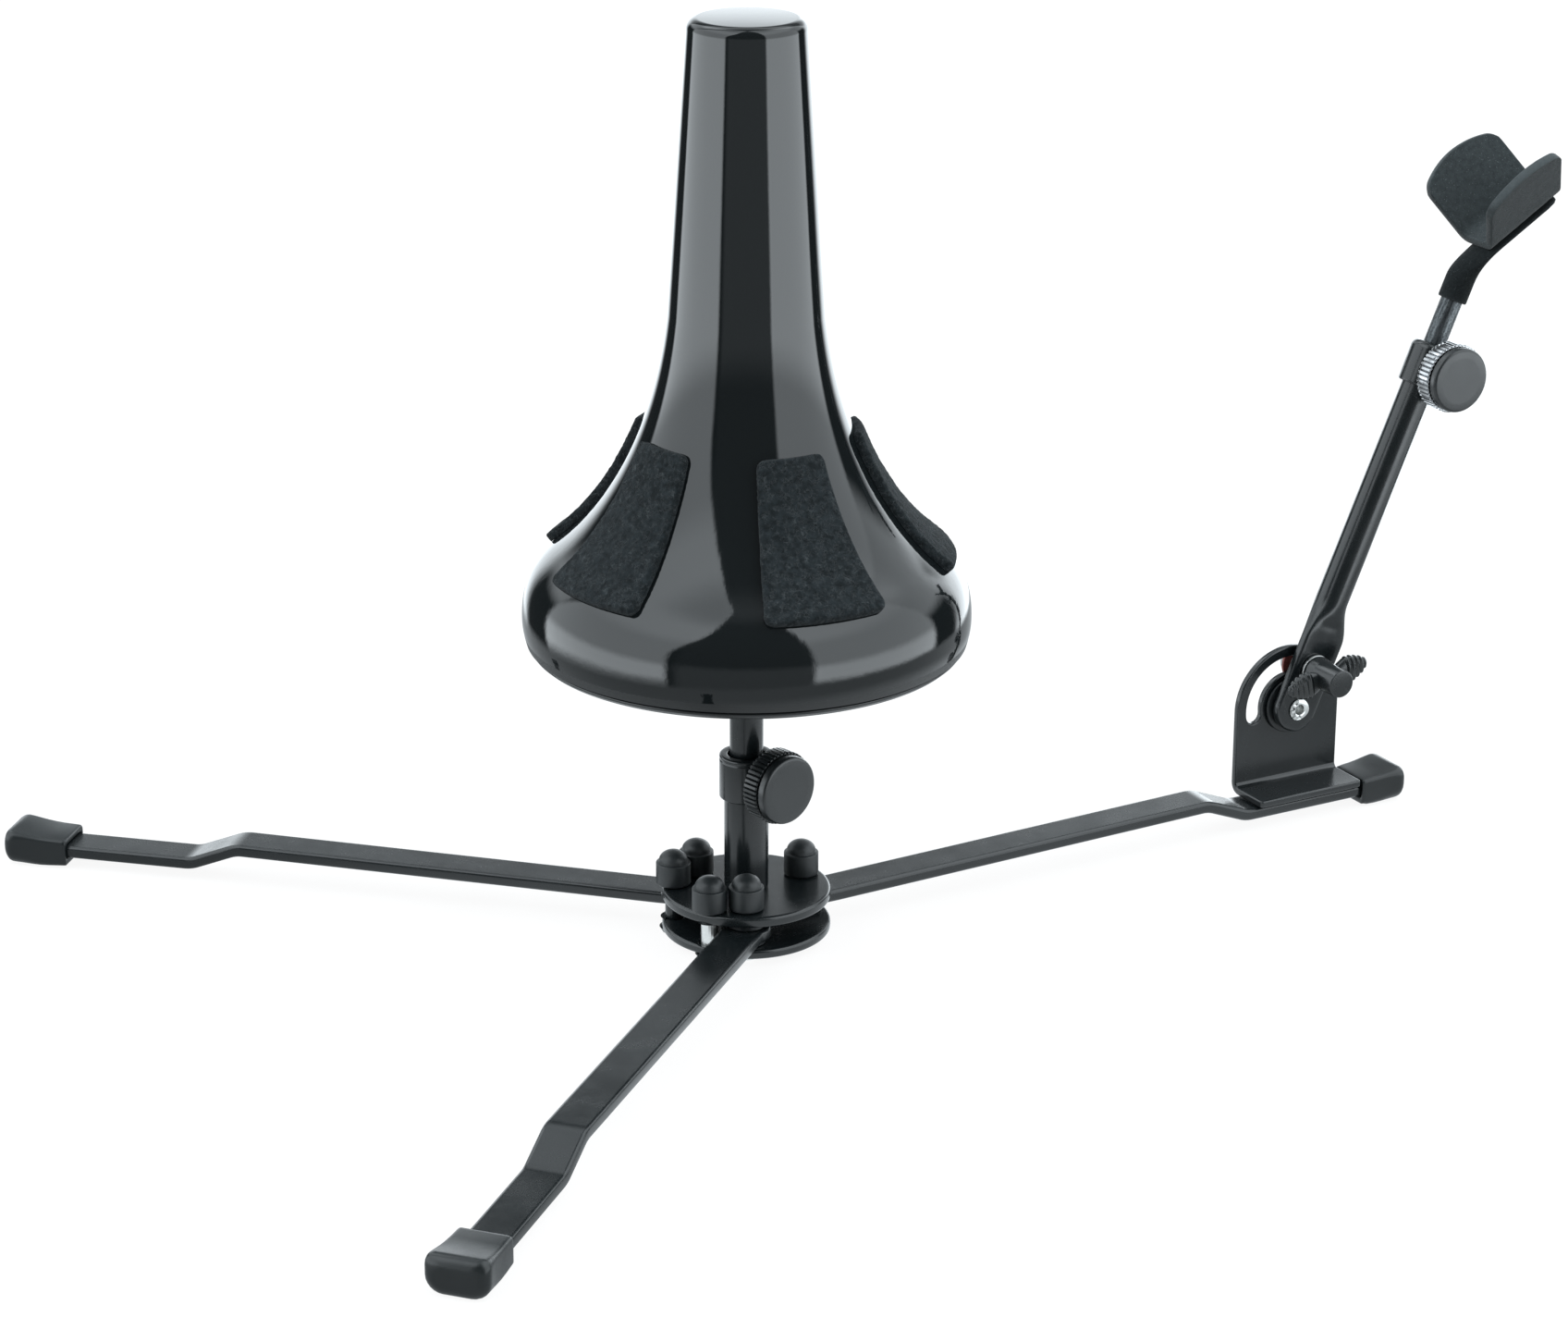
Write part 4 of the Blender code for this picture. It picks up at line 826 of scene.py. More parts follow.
def build_column():
    """Tube, clamp collar with its rolled lip, sliding rod and the knob."""
    low, high = box_mm("column_tube")
    tube = rounded([(TUBE_RADIUS, high.z, 0.35), (TUBE_RADIUS, low.z, 0.3), (TUBE_BORE, low.z, 0.15),
                    (TUBE_BORE, high.z, 0.35)], closed=True)
    detail("column_tube", revolve(tube, 72, closed=True), "powder_coat", COLUMN)

    low, high = box_mm("column_collar")
    groove = COLLAR_OUTER - 0.18
    collar = rounded([
        (COLLAR_OUTER, high.z - 0.9, 0.6), (groove, high.z - 1.15, 0.3), (COLLAR_OUTER, high.z - 1.5, 0.4),
        (COLLAR_OUTER, low.z, 0.8), (COLLAR_INNER, low.z, 0.15), (COLLAR_INNER, high.z - 0.6, 0.3),
        (COLLAR_LIP, high.z - 0.45, 0.2), (COLLAR_LIP, high.z, 0.3), (COLLAR_OUTER, high.z, 0.5)],
        closed=True)
    place = COLUMN.inverted() @ knob_place("column_knob_turn", (0, 0, 1))
    direction = Vector(JOINTS["column_knob_turn"]["axis"])
    middle = Vector((COLUMN_AXIS.x, COLUMN_AXIS.y, COLLAR_KNOB_Z))
    offset = (joint_mm("column_knob_turn") - middle).dot(direction)
    boss = boss_shell(place, COLLAR_BOSS_START - offset, BOSS_END - offset)
    detail("column_collar", combine(revolve(collar, 72, closed=True), boss), "powder_coat", COLUMN)

    low, high = box_mm("cone_rod")
    radius = (high.x - low.x) / 2
    rod = rounded([(0, high.z), (radius, high.z, 0.4), (radius, low.z, 0.4), (0, low.z)])
    detail("cone_rod", revolve(rod, 64), "powder_coat", COLUMN)
    build_knob("column", "column_knob_turn", (0, 0, 1), -offset, "black_plastic")


# ---------------------------------------------------------------- cone, cover and felt pads

CONE_TOP = 220.6
CONE_TOP_RADIUS = 13.75
CONE_NECK = (18.15, 153.0)
CONE_SHOULDER = (44.3, 96.7)
CONE_WIDEST = (52.1, 81.0)
CONE_RIM = (51.2, 75.4)
CONE_WALL = 2.0
CONE_EDGE = 2.6                     # radius of its rounded top edge
CONE_CROWN = 0.06                   # how much its flat top rises to the middle
COVER_FACE = 75.1                   # height of the base cover's upper face
COVER_BORE = 4.25


def cone_flare(steps=1):
    """Outer profile from the neck down to the rim, as (radius, z)."""
    drop = CONE_NECK[1] - CONE_SHOULDER[1]
    flare = bezier([CONE_NECK, (CONE_NECK[0] + 0.055 * drop, CONE_NECK[1] - 0.52 * drop),
                    (CONE_SHOULDER[0] - 11.0, CONE_SHOULDER[1] + 9.0), CONE_SHOULDER], 40 * steps)
    shoulder = bezier([CONE_SHOULDER, (CONE_SHOULDER[0] + 5.6, CONE_SHOULDER[1] - 4.6),
                       (CONE_WIDEST[0], CONE_WIDEST[1] + 7.0), CONE_WIDEST], 22 * steps)
    rim = bezier([CONE_WIDEST, (CONE_WIDEST[0], CONE_WIDEST[1] - 2.5),
                  (CONE_RIM[0] + 0.4, CONE_RIM[1] + 1.5), CONE_RIM], 8 * steps)
    return [CONE_NECK] + flare + shoulder + rim


def offset_profile(profile, distance):
    """Profile moved along its normal; positive is outwards."""
    return [(radius - along.y * distance, z + along.x * distance)
            for (radius, z), along in zip(profile, headings(profile))]


def build_cone():
    """Hollow gloss cone and its satin base cover."""
    top = [(0, CONE_TOP), (CONE_TOP_RADIUS - CONE_EDGE, CONE_TOP - CONE_CROWN)]
    top += [(CONE_TOP_RADIUS - CONE_EDGE + CONE_EDGE * math.sin(a),
             CONE_TOP - CONE_EDGE + (CONE_EDGE - CONE_CROWN) * math.cos(a))
            for a in np.linspace(0.12, math.pi / 2, 12)]
    neck_top = CONE_TOP - CONE_EDGE
    neck = [(CONE_TOP_RADIUS + share * (CONE_NECK[0] - CONE_TOP_RADIUS),
             neck_top + share * (CONE_NECK[1] - neck_top)) for share in (0.25, 0.5, 0.75)]
    outer = top + neck + cone_flare()
    lip = rounded([outer[-1], (CONE_RIM[0] - 0.1, CONE_RIM[1], 0.25), (CONE_RIM[0] - CONE_WALL, CONE_RIM[1])])
    inner = offset_profile(cone_flare(), -CONE_WALL)[:-3][::-4]
    inner += [(CONE_TOP_RADIUS - CONE_WALL, CONE_TOP - CONE_WALL), (0, CONE_TOP - CONE_WALL)]
    detail("cone_shell", revolve(outer[:-1] + lip + inner, 256), "gloss_shell", COLUMN)

    low, high = box_mm("cone_base_cover")
    groove = low.z + 0.9
    cover = rounded([
        (9.0, high.z, 0.5), (9.0, COVER_FACE, 0.8), (49.8, COVER_FACE, 0.2), (50.4, 74.7, 0.3),
        (50.35, 74.2, 0.5), (49.2, low.z, 0.7), (12.0, low.z, 1.0), (11.2, groove, 0.5), (7.0, groove, 0.5),
        (6.4, low.z, 0.4), (COVER_BORE, low.z, 0.2), (COVER_BORE, high.z, 0.3)], closed=True)
    detail("cone_base_cover", revolve(cover, 192, closed=True), "black_plastic", COLUMN, COVER_FINISH)


PAD_SPAN = math.radians(36.0)
PAD_AZIMUTH = math.radians(-96.0)
PAD_Z = (94.2, 125.2)
PAD_THICKNESS = 2.1
PAD_CORNER = 2.2
PAD_EDGE = 0.9
PAD_LEAST = 0.5                     # least height anywhere
PAD_GLUE = 0.06                     # gap to the cone's surface


def build_pads():
    """Five felt pads, each a fan-shaped sheet of pressed felt glued on the flare."""
    flare = [spot for spot in cone_flare(2) if PAD_Z[0] - 0.3 <= spot[1] <= PAD_Z[1] + 0.6]
    lengths = walked(flare)
    stands = np.array(flare)
    lifted = np.array(offset_profile(flare, 1.0)) - stands
    for index in range(5):
        build_pad(index, lengths, stands, lifted)


def build_pad(index, lengths, stands, lifted):
    """One pad, with soft edges and a woolly surface."""
    total = lengths[-1]
    middle = PAD_AZIMUTH + index * 2 * math.pi / 5
    places, upper = [], []
    for share in eased(84, 0.5):
        walk = share * total
        radius, z = at_length(walk, lengths, stands)
        normal_r, normal_z = at_length(walk, lengths, lifted)
        to_end = min(walk, total - walk)
        half = radius * PAD_SPAN / 2 - corner_inset(PAD_CORNER, to_end)
        row, high = [], []
        for across in eased(60, 0.5) * 2 - 1:
            reach = across * half
            angle = middle + reach / radius
            c, s = math.cos(angle), math.sin(angle)
            spot = Vector((radius * c, radius * s, z))
            ease = min(1.0, min(half - abs(reach), to_end) / PAD_EDGE)
            crown = 0.42 + 0.58 * round_over(ease)
            wool = noise.fractal(spot * 0.9, 0.8, 2.1, 4) * 0.13 + noise.noise(spot * 0.16) * 0.10
            fray = noise.noise(spot * 1.7 + Vector((9, 4, index))) * 0.16 * (1 - ease)
            side = Vector((-s, c, 0)) * (fray if abs(across) > 0.9 else 0)
            row.append((spot + side, Vector((normal_r * c, normal_r * s, normal_z)).normalized()))
            high.append(max(PAD_LEAST, PAD_THICKNESS * crown + wool * (0.4 + 0.6 * ease)))
        places.append(row)
        upper.append(high)
    lower = [[PAD_GLUE] * len(row) for row in places]
    pad = detail("felt_pad_%d" % (index + 1), quilt(places, upper, lower), "felt", COLUMN)


# ---------------------------------------------------------------- arm, bracket, wing nut

BRACKET_RADIUS = 15.6
BRACKET_THICKNESS = 1.8
BRACKET_BEND = 2.1
PIN_HOLE = 2.2                      # radius of the holes for the rivet and the slot bolt
SLOT_RADIUS = 10.65
SLOT_HALF = 2.2
SLOT_ANGLES = (math.radians(62.0), math.radians(187.0))
UPRIGHT = Matrix.Rotation(math.pi / 2, 4, "X")      # turns a flat shape to stand facing -y


def build_bracket():
    """Bent sheet: arched plate with its curved slot and pivot hole, and a short flange."""
    low, high = box_mm("arm_bracket")
    face = high.y - BRACKET_THICKNESS / 2
    floor = low.z + BRACKET_THICKNESS / 2
    path = rounded([(0.0, ARM_PIVOT.z + BRACKET_RADIUS), (0.0, floor, BRACKET_BEND),
                    (-(face - low.y), floor)], steps=10)
    end = walked(path)[-1]
    outline = arc((BRACKET_RADIUS, 0), BRACKET_RADIUS, math.pi / 2, math.pi * 1.5, 60)
    outline += rounded([(BRACKET_RADIUS, -BRACKET_RADIUS), (end, -BRACKET_RADIUS, 1.0),
                        (end, BRACKET_RADIUS, 1.0), (BRACKET_RADIUS, BRACKET_RADIUS)])[1:-1]

    def on_plate(points):
        """Plate coordinates (along x, up from the pivot) as (down from the top, across)."""
        return [(BRACKET_RADIUS - up, across) for across, up in points]

    def slot_end(angle, turn):
        """Round end of the curved slot."""
        centre = (SLOT_RADIUS * math.cos(angle), SLOT_RADIUS * math.sin(angle))
        return arc(centre, SLOT_HALF, angle + turn, angle + turn + math.pi, 10)[1:-1]

    first, last = SLOT_ANGLES
    slot = (arc((0, 0), SLOT_RADIUS + SLOT_HALF, first, last, 40) + slot_end(last, 0)
            + arc((0, 0), SLOT_RADIUS - SLOT_HALF, last, first, 40) + slot_end(first, math.pi))
    holes = [on_plate(slot), on_plate(circle((0, 0), PIN_HOLE))]
    sheet = plate([outline] + holes, BRACKET_THICKNESS, 0.42, 3)
    shell = bent(sheet, path)
    upright = [(ARM_PIVOT.x + across, face + depth, z) for depth, across, z in shell[0]]
    detail("arm_bracket", (upright, shell[1]), "powder_coat")


def facing(point):
    """Frame at an x, z place with z pointing to -y, towards the knob side."""
    return axes((point[0], 0, point[1]), (1, 0, 0), (0, -1, 0))


def flat_ring(radius, bore, low, high, edge, segments):
    """Washer between the y faces of a CAD box, for a place whose z points to -y."""
    profile = rounded([(radius, -low.y, edge), (radius, -high.y, edge), (bore, -high.y), (bore, -low.y)],
                      closed=True)
    return revolve(profile, segments, closed=True)


RIVET_SPLITS = (math.radians(118), math.radians(165), math.radians(212), math.radians(268))
RIVET_SPLIT = math.radians(11)      # half the width of each gap in the flare
RIVET_DENT = 0.42                   # how far the flare is pulled in and down at a gap
RIVET_RIM = 0.45                    # height of the front that is shaped so
DISC_RADIUS = 7.2


def build_pivot():
    """Hollow rivet with its rolled, split flare, and the friction disc."""
    low, high = box_mm("pivot_rivet")
    front, back = -low.y, -high.y
    bore, stem, flare = 1.3, 1.9, 2.8
    profile = rounded([(bore, front - 0.15, 0.2), (bore + 0.5, front, 0.25), (flare, front - 0.16, 0.2),
                       (flare, front - 0.5, 0.1), (stem, front - 0.5), (stem, back + 0.5),
                       (flare, back + 0.5, 0.1), (flare, back, 0.2), (bore, back, 0.2)], closed=True)
    points, faces = revolve(profile, 144, closed=True)
    star = []
    for x, y, z in points:
        radius = math.hypot(x, y)
        angle = math.atan2(y, x)
        if z > front - RIVET_RIM and radius > bore + 0.1:
            split = min(1.0, sum(math.exp(-((math.remainder(angle - at, 2 * math.pi) / RIVET_SPLIT) ** 2))
                                 for at in RIVET_SPLITS))
            reach = min(1.0, (radius - bore) / 1.2)
            pull = 1 + reach * (0.05 * math.cos(3 * angle + 0.6) - RIVET_DENT * split)
            x, y, z = x * pull, y * pull, z - RIVET_DENT * split * reach
        star.append((x, y, z))
    place = facing((ARM_PIVOT.x, ARM_PIVOT.z))
    detail("pivot_rivet", (star, faces), "zinc", place)
    low, high = box_mm("friction_disc")
    detail("friction_disc", flat_ring(DISC_RADIUS, PIN_HOLE, low, high, 0.2, 72), "black_plastic", place)


def oval(x, centre_y, half_thickness, half_width, power, count=56):
    """Section across the arm, between a flat bar and a round tube."""
    return [(x, centre_y + half_thickness * c, half_width * s) for c, s in squared_circle(power, count)]


TONGUE = (1.2, 4.2)                 # y of its front and back face
TONGUE_HALF = 6.1
TONGUE_CUT = 0.16                   # radians left off its round end
TONGUE_END = 18.5
ROUND_START = 29.0
ARM_TUBE = (4.12, 3.1, 4.8, 94.5)   # radius, bore, y of its axis, end
ARM_BORE_DEPTH = 12
FLAT_POWER = 0.35                   # squareness of the flat part's section


MARK = (22.6, 0.6)                  # x, z of the dimple's middle
MARK_SPREAD = (1.5, 2.6)
MARK_DEPTH = 0.30


def press_mark(x, z):
    """Depth of the small dimple that the press leaves where the tongue meets the tube."""
    away = ((x - MARK[0]) / MARK_SPREAD[0]) ** 2 + ((z - MARK[1]) / MARK_SPREAD[1]) ** 2
    return MARK_DEPTH * math.exp(-away)


def build_arm_tube():
    """Tube pressed flat into a rounded tongue at its lower end."""
    radius, bore, axis_y, end = ARM_TUBE
    middle = sum(TONGUE) / 2
    half = (TONGUE[1] - TONGUE[0]) / 2
    rings = []
    for angle in np.linspace(TONGUE_CUT - math.pi / 2, 0, 14):
        thin = half * min(1.0, (0.55 + 0.9 * math.cos(angle)))
        rings.append(oval(TONGUE_HALF * math.sin(angle), middle, thin, TONGUE_HALF * math.cos(angle),
                          FLAT_POWER))
    rings += [oval(x, middle, half, TONGUE_HALF, FLAT_POWER) for x in (4.0, 8.0, 12.0, TONGUE_END)]
    for share in np.linspace(0, 1, 22)[1:]:
        blend = smooth(share)
        centre = middle + blend * (axis_y - middle)
        ring = oval(TONGUE_END + share * (ROUND_START - TONGUE_END), centre, half + blend * (radius - half),
                    TONGUE_HALF + blend * (radius - TONGUE_HALF), FLAT_POWER + blend * (1 - FLAT_POWER))
        rings.append([(x, y + press_mark(x, z) if y < centre else y, z) for x, y, z in ring])
    for x, width in ((50.0, radius), (70.0, radius), (end - 0.3, radius), (end, radius - 0.3), (end, bore),
                     (end - ARM_BORE_DEPTH, bore)):
        rings.append(oval(x, axis_y, width, width, 1.0))
    arm = make_piece("arm_tube_detail", loft(rings), FINISH["powder_coat"], ARM)
    pin = revolve([(0, 6), (PIN_HOLE, 6), (PIN_HOLE, -6), (0, -6)], 40)
    for x in (0, SLOT_RADIUS):
        cut(arm, pin, ARM @ Matrix.Translation((x, middle, 0)) @ UPRIGHT)
    stand_for("arm_tube", arm)


def along_arm(shell, y=ARM_TUBE[2]):
    """Shape turned from z to the arm's direction."""
    return moved(shell, Matrix.Translation((0, y, 0)) @ Matrix.Rotation(math.pi / 2, 4, "Y"))


ARM_KNOB_SHIFT = -0.4               # the arm's collar is slimmer than the column's
ARM_COLLAR = (5.45, 87.0, 98.2)     # radius, start and end along the arm
ARM_COLLAR_SHOULDER = 1.9
ARM_COLLAR_BORE = 4.15
ARM_BOSS_START = 4.6
ARM_ROD = (2.8, 44.0, 115.0)        # radius, ends along the arm


def build_arm_clamp():
    """Collar with a rounded closed shoulder, its boss, the knob and the sliding rod."""
    radius, start, end = ARM_COLLAR
    profile = rounded([(radius, start, 0.7), (ARM_COLLAR_BORE, start, 0.15),
                       (ARM_COLLAR_BORE, end - 2.2, 0.2), (3.0, end - 1.4, 0.2), (3.0, end, 0.15)],
                      closed=True, steps=8)
    profile += arc((radius - ARM_COLLAR_SHOULDER, end - ARM_COLLAR_SHOULDER), ARM_COLLAR_SHOULDER,
                   math.pi / 2, 0, 12)
    collar = along_arm(revolve(profile, 72, closed=True))
    knob = ARM.inverted() @ knob_place("arm_knob_turn", ARM_AXIS)
    depth = ARM_TUBE[2] - joint_mm("arm_knob_turn").y
    boss = boss_shell(knob, ARM_BOSS_START - depth, BOSS_END + ARM_KNOB_SHIFT - depth)
    detail("arm_collar", combine(collar, boss), "powder_coat", ARM)
    build_knob("arm", "arm_knob_turn", ARM_AXIS, ARM_KNOB_SHIFT - depth, "chrome")
    radius, start, end = ARM_ROD
    rod = rounded([(0, end), (radius, end, 0.4), (radius, start, 0.4), (0, start)])
    detail("arm_rod", along_arm(revolve(rod, 56)), "zinc", ARM, ROD_FINISH)


SLOT_BOLT = (1.9, 7.0)              # radius of its shank, front end
SLOT_BOLT_HEAD = (4.3, -8.7, -11.0)     # radius, near and far face of its head
SLOT_WASHERS = (("slot_rear_washer", 4.9, "red_fibre"), ("slot_front_washer", 4.2, "zinc"))


def build_slot_bolt():
    """Bolt through the curved slot, with its washers."""
    place = ARM @ Matrix.Translation((SLOT_RADIUS, 0, 0)) @ UPRIGHT
    radius, face, back = SLOT_BOLT_HEAD
    shank, front = SLOT_BOLT
    bolt = rounded([(0, front), (shank, front, 0.4), (shank, face), (radius, face, 0.3),
                    (radius - 0.8, back, 0.8), (0, back)])
    detail("slot_bolt", revolve(bolt, 48), "zinc", place)
    for node, radius, slot in SLOT_WASHERS:
        detail(node, flat_ring(radius, PIN_HOLE, *box_mm(node), 0.15, 64), slot, place)


WING_TILT = math.radians(10.5)      # of the wings from the horizontal
WING_SPAN = (2.4, 12.2)             # where a wing starts and ends
WING_WIDTH = (2.1, 2.1, 1.6)        # half width at the root, what it gains, how soon
WING_THICKNESS = (1.15, 0.75, 1.5)
WING_RIDGES = (5.2, 11.6, 1.42)     # first and last place, spacing
WING_HEIGHT = 4.5                   # of the wings' middle on the barrel
WING_NUT_BORE = 7.3                 # where the blind bore ends


def wing_shell(sign):
    """One teardrop wing with grip ridges across it."""
    rings = []
    start, end = WING_SPAN
    first, last, pitch = WING_RIDGES
    for share in [step / 60 for step in range(61)]:
        x = start + share * (end - start)
        tip = max(0.0, 1 - share) ** 0.5
        ridge = 0.5 - 0.5 * math.cos(2 * math.pi * (x - first) / pitch) if first < x < last else 0.6
        sizes = []
        for (root, gain, rate), blunt, keep, depth in ((WING_WIDTH, 1.25, 0.90, 0.24),
                                                       (WING_THICKNESS, 1.3, 0.78, 0.58)):
            size = (root + gain * math.sin(min(1.0, share * rate) * math.pi / 2)) * min(1.0, tip * blunt)
            sizes.append(max(0.05, size * keep + depth * ridge * min(1.0, size)))
        rings.append([(x, sizes[0] * c, sizes[1] * s) for c, s in squared_circle(0.8, 32)])
    turned = Matrix.Rotation(math.pi, 4, "Z") if sign < 0 else Matrix.Identity(4)
    return moved(loft(rings), turned)


def build_wing_nut():
    """Moulded wing nut: round barrel with a blind bore and two ribbed wings."""
    low, high = box_mm("wing_nut")
    origin = joint_mm("wing_nut_turn")
    place = (Matrix.Translation((origin.x, 0, origin.z))
             @ axes((0, 0, 0), (math.cos(WING_TILT), 0, math.sin(WING_TILT)), (0, -1, 0)))
    front, back = -low.y, -high.y
    barrel = rounded([(0, front), (3.55, front, 0.35), (3.72, back + 2.6, 3.0), (4.15, back + 0.5, 0.4),
                      (4.15, back, 0.2), (PIN_HOLE, back), (PIN_HOLE, WING_NUT_BORE), (0, WING_NUT_BORE)])
    wings = Matrix.Translation((0, 0, WING_HEIGHT))
    shell = combine(revolve(barrel, 64), moved(wing_shell(1), wings), moved(wing_shell(-1), wings))
    detail("wing_nut", shell, "black_plastic", place, NUT_FINISH)


# ---------------------------------------------------------------- cradle

NECK_RADIUS = 3.7
NECK_BORE = 3.1
NECK_START = 110.0
NECK_BEND = 115.5
SADDLE_START = (212.6, 141.9)       # from the column axis: x, z of the saddle's near end
SADDLE_TILT = math.radians(31.0)
SADDLE_LENGTH = 24.6
SADDLE_HALF = 1.1                   # half its thickness
SADDLE_HALF_BASE = (4.0, 2.4)       # half the flat floor on the far and the near side
SADDLE_BEND = 3.0                   # radius where a wing rises from the floor
SADDLE_BACK = 0.6                   # how far it reaches back over the neck
SADDLE_FLARE = math.radians(30.0)
SADDLE_SLANT = 15.6                 # length of a wing at the saddle's ends
SADDLE_ARCH = 3.6                   # how much longer it is in the middle
SADDLE_CORNER = 2.6                 # radius of its corners
SADDLE_EDGE = 0.5                   # width over which its edges round off
SADDLE_SWELL = 0.04                 # unevenness of the flocked surface
TAB = (9.4, 2.5)                    # width, thickness
# Along the tab, and the share of its width there.
TAB_END = ((8, 1), (14, 1), (19, 1), (21.4, 0.93), (22.4, 0.78), (22.9, 0.5), (23.0, 0.2))
TAB_SINK = 0.1                      # how far the tab is sunk into the saddle


def saddle_path(slant, base):
    """Half-section of the saddle as (y, z): half its flat floor, a bend and a flared wing."""
    turn = math.pi / 2 - SADDLE_FLARE
    path = [(0.0, 0.0), (base * 0.5, 0.0)]
    for share in np.linspace(0, 1, 9):
        angle = share * turn
        path.append((base + SADDLE_BEND * math.sin(angle), SADDLE_BEND * (1 - math.cos(angle))))
    y, z = path[-1]
    reach = slant - SADDLE_BEND * turn * 0.5
    for share in (0.3, 0.6, 0.8, 1.0):
        path.append((y + share * reach * math.sin(SADDLE_FLARE), z + share * reach * math.cos(SADDLE_FLARE)))
    return path


def build_saddle():
    """Bent saddle with two wings, as one thick flocked sheet."""
    start = Vector((SADDLE_START[0] + COLUMN_AXIS.x, ARM_TUBE[2], SADDLE_START[1]))
    start = ARM.inverted() @ start
    start.y = ARM_TUBE[2]
    tilt = math.acos(max(-1, min(1, ARM_AXIS.x))) - SADDLE_TILT
    place = Matrix.Translation(start) @ Matrix.Rotation(tilt, 4, "Y")
    places, upper = [], []
    step = 0.4                      # over which the sheet's slope is measured
    for share in eased(40, 0.6):
        along = share * SADDLE_LENGTH - SADDLE_BACK
        middle = 2 * share - 1
        to_end = min(share, 1 - share) * SADDLE_LENGTH
        slant = SADDLE_SLANT + SADDLE_ARCH * (1 - middle * middle) - corner_inset(SADDLE_CORNER, to_end)
        sides = [np.array(saddle_path(slant, base)) for base in SADDLE_HALF_BASE]
        row, high = [], []
        for across in eased(72, 0.55) * 2 - 1:
            side, sign = (sides[0], 1) if across >= 0 else (sides[1], -1)
            lengths = np.concatenate([[0], np.cumsum(np.hypot(*np.diff(side, axis=0).T))])
            walk = abs(across) * lengths[-1]
            y, z = at_length(walk, lengths, side)
            ahead = at_length(min(walk + step, lengths[-1]), lengths, side)
            behind = at_length(walk - step, lengths, side) if walk >= step else [-ahead[0], ahead[1]]
            dy, dz = ahead[0] - behind[0], ahead[1] - behind[1]
            normal = Vector((0, -dz, dy)).normalized()
            normal.y *= sign
            spot = Vector((along, y * sign, z))
            row.append((spot, normal))
            ease = min(1.0, min(to_end, lengths[-1] - walk) / SADDLE_EDGE)
            swell = noise.noise(spot * 0.5) * SADDLE_SWELL
            high.append(SADDLE_HALF * (0.66 + 0.38 * round_over(ease)) + swell * ease)
        places.append(row)
        upper.append(high)
    lower = [[-value for value in row] for row in upper]
    return moved(quilt(places, upper, lower), place), start, tilt


def oval_ring(centre, heading, half_width, half_height, count=40):
    """Ellipse across a heading in the arm's plane."""
    normal = Vector((-heading.z, 0, heading.x))
    return [centre + Vector((0, half_width * math.cos(a), 0)) + normal * half_height * math.sin(a)
            for a in np.linspace(0, 2 * math.pi, count, endpoint=False)]


def build_cradle():
    """Neck that grips the rod, bends over and runs on as a tab under the saddle."""
    saddle, start, tilt = build_saddle()
    direction = Vector((math.cos(tilt), 0, -math.sin(tilt)))
    outward_axis = Vector((math.sin(tilt), 0, math.cos(tilt)))
    low = start - outward_axis * (SADDLE_HALF + TAB[1] / 2 - TAB_SINK)
    low.y = 0
    along = Vector((1, 0, 0))
    bend_start = Vector((NECK_BEND, 0, 0))
    corner = low - direction * (low.z / direction.z)
    bend_end = low + direction * 3.0
    rings = [oval_ring(Vector((NECK_START + x, 0, 0)), along, radius, radius) for x, radius in (
        (4, NECK_BORE), (0.2, NECK_BORE), (0, NECK_BORE + 0.2), (0, NECK_RADIUS - 0.3),
        (0.12, NECK_RADIUS - 0.08), (0.5, NECK_RADIUS), (3, NECK_RADIUS),
        (NECK_BEND - NECK_START, NECK_RADIUS))]
    for share in np.linspace(0, 1, 15)[1:]:
        point = bend_start.lerp(corner, share).lerp(corner.lerp(bend_end, share), share)
        width, height = (NECK_RADIUS + smooth(share) * (size / 2 - NECK_RADIUS) for size in TAB)
        rings.append(oval_ring(point, along.lerp(direction, share).normalized(), width, height))
    for reach, share in TAB_END:
        rings.append(oval_ring(low + direction * reach, direction, TAB[0] / 2 * share,
                               TAB[1] / 2 * (0.4 + 0.6 * share)))
    stem = moved(loft(rings), Matrix.Translation((0, ARM_TUBE[2], 0)))
    cradle = detail("cradle", combine(saddle, stem), "flock", ARM)
    # The neck and tab take the painted-shade copy of the flock.
    cradle.data.materials.append(NECK_PAINTED_SHADE_FINISH)
    for polygon in cradle.data.polygons[len(saddle[1]):]:
        polygon.material_index = 1


# ---------------------------------------------------------------- carried-over nodes

def finish_hidden_nodes():
    """Nodes that keep their CAD shape, mostly inside, get the same procedural finishes."""
    slots = dict.fromkeys(("bolt", "screw", "plug", "nut"), "zinc") | {"washer": "black_plastic"}
    for name, obj in frame["nodes"].items():
        if obj.hide_render:
            continue
        slot = next((slots[word] for word in reversed(name.split("_")) if word in slots), "powder_coat")
        obj.data.materials.clear()
        obj.data.materials.append(FINISH["powder_coat" if name == "left_stop_bolt" else slot])


# ---------------------------------------------------------------- camera, light and floor

VIEW_HEADING = (0.4784, 0.8782)     # horizontal direction of view
VIEW_PITCH = 0.3298                 # radians below the horizon
CAMERA_PLACE = (-0.48864, -0.80403, 0.40539)
CAMERA = {"lens": 96.34, "sensor_width": 36.0, "shift_x": 0.0339, "shift_y": -0.0564,
          "clip_start": 0.01, "clip_end": 50.0}


def build_camera():
    """Camera at the photograph's angle."""
    data = bpy.data.cameras.new("camera")
    for key, value in CAMERA.items():
        setattr(data, key, value)
    camera = bpy.data.objects.new("camera", data)
    camera.location = CAMERA_PLACE
    camera.rotation_euler = (math.pi / 2 - VIEW_PITCH, 0, -math.atan2(*VIEW_HEADING))
    bpy.context.scene.collection.objects.link(camera)
    bpy.context.scene.camera = camera


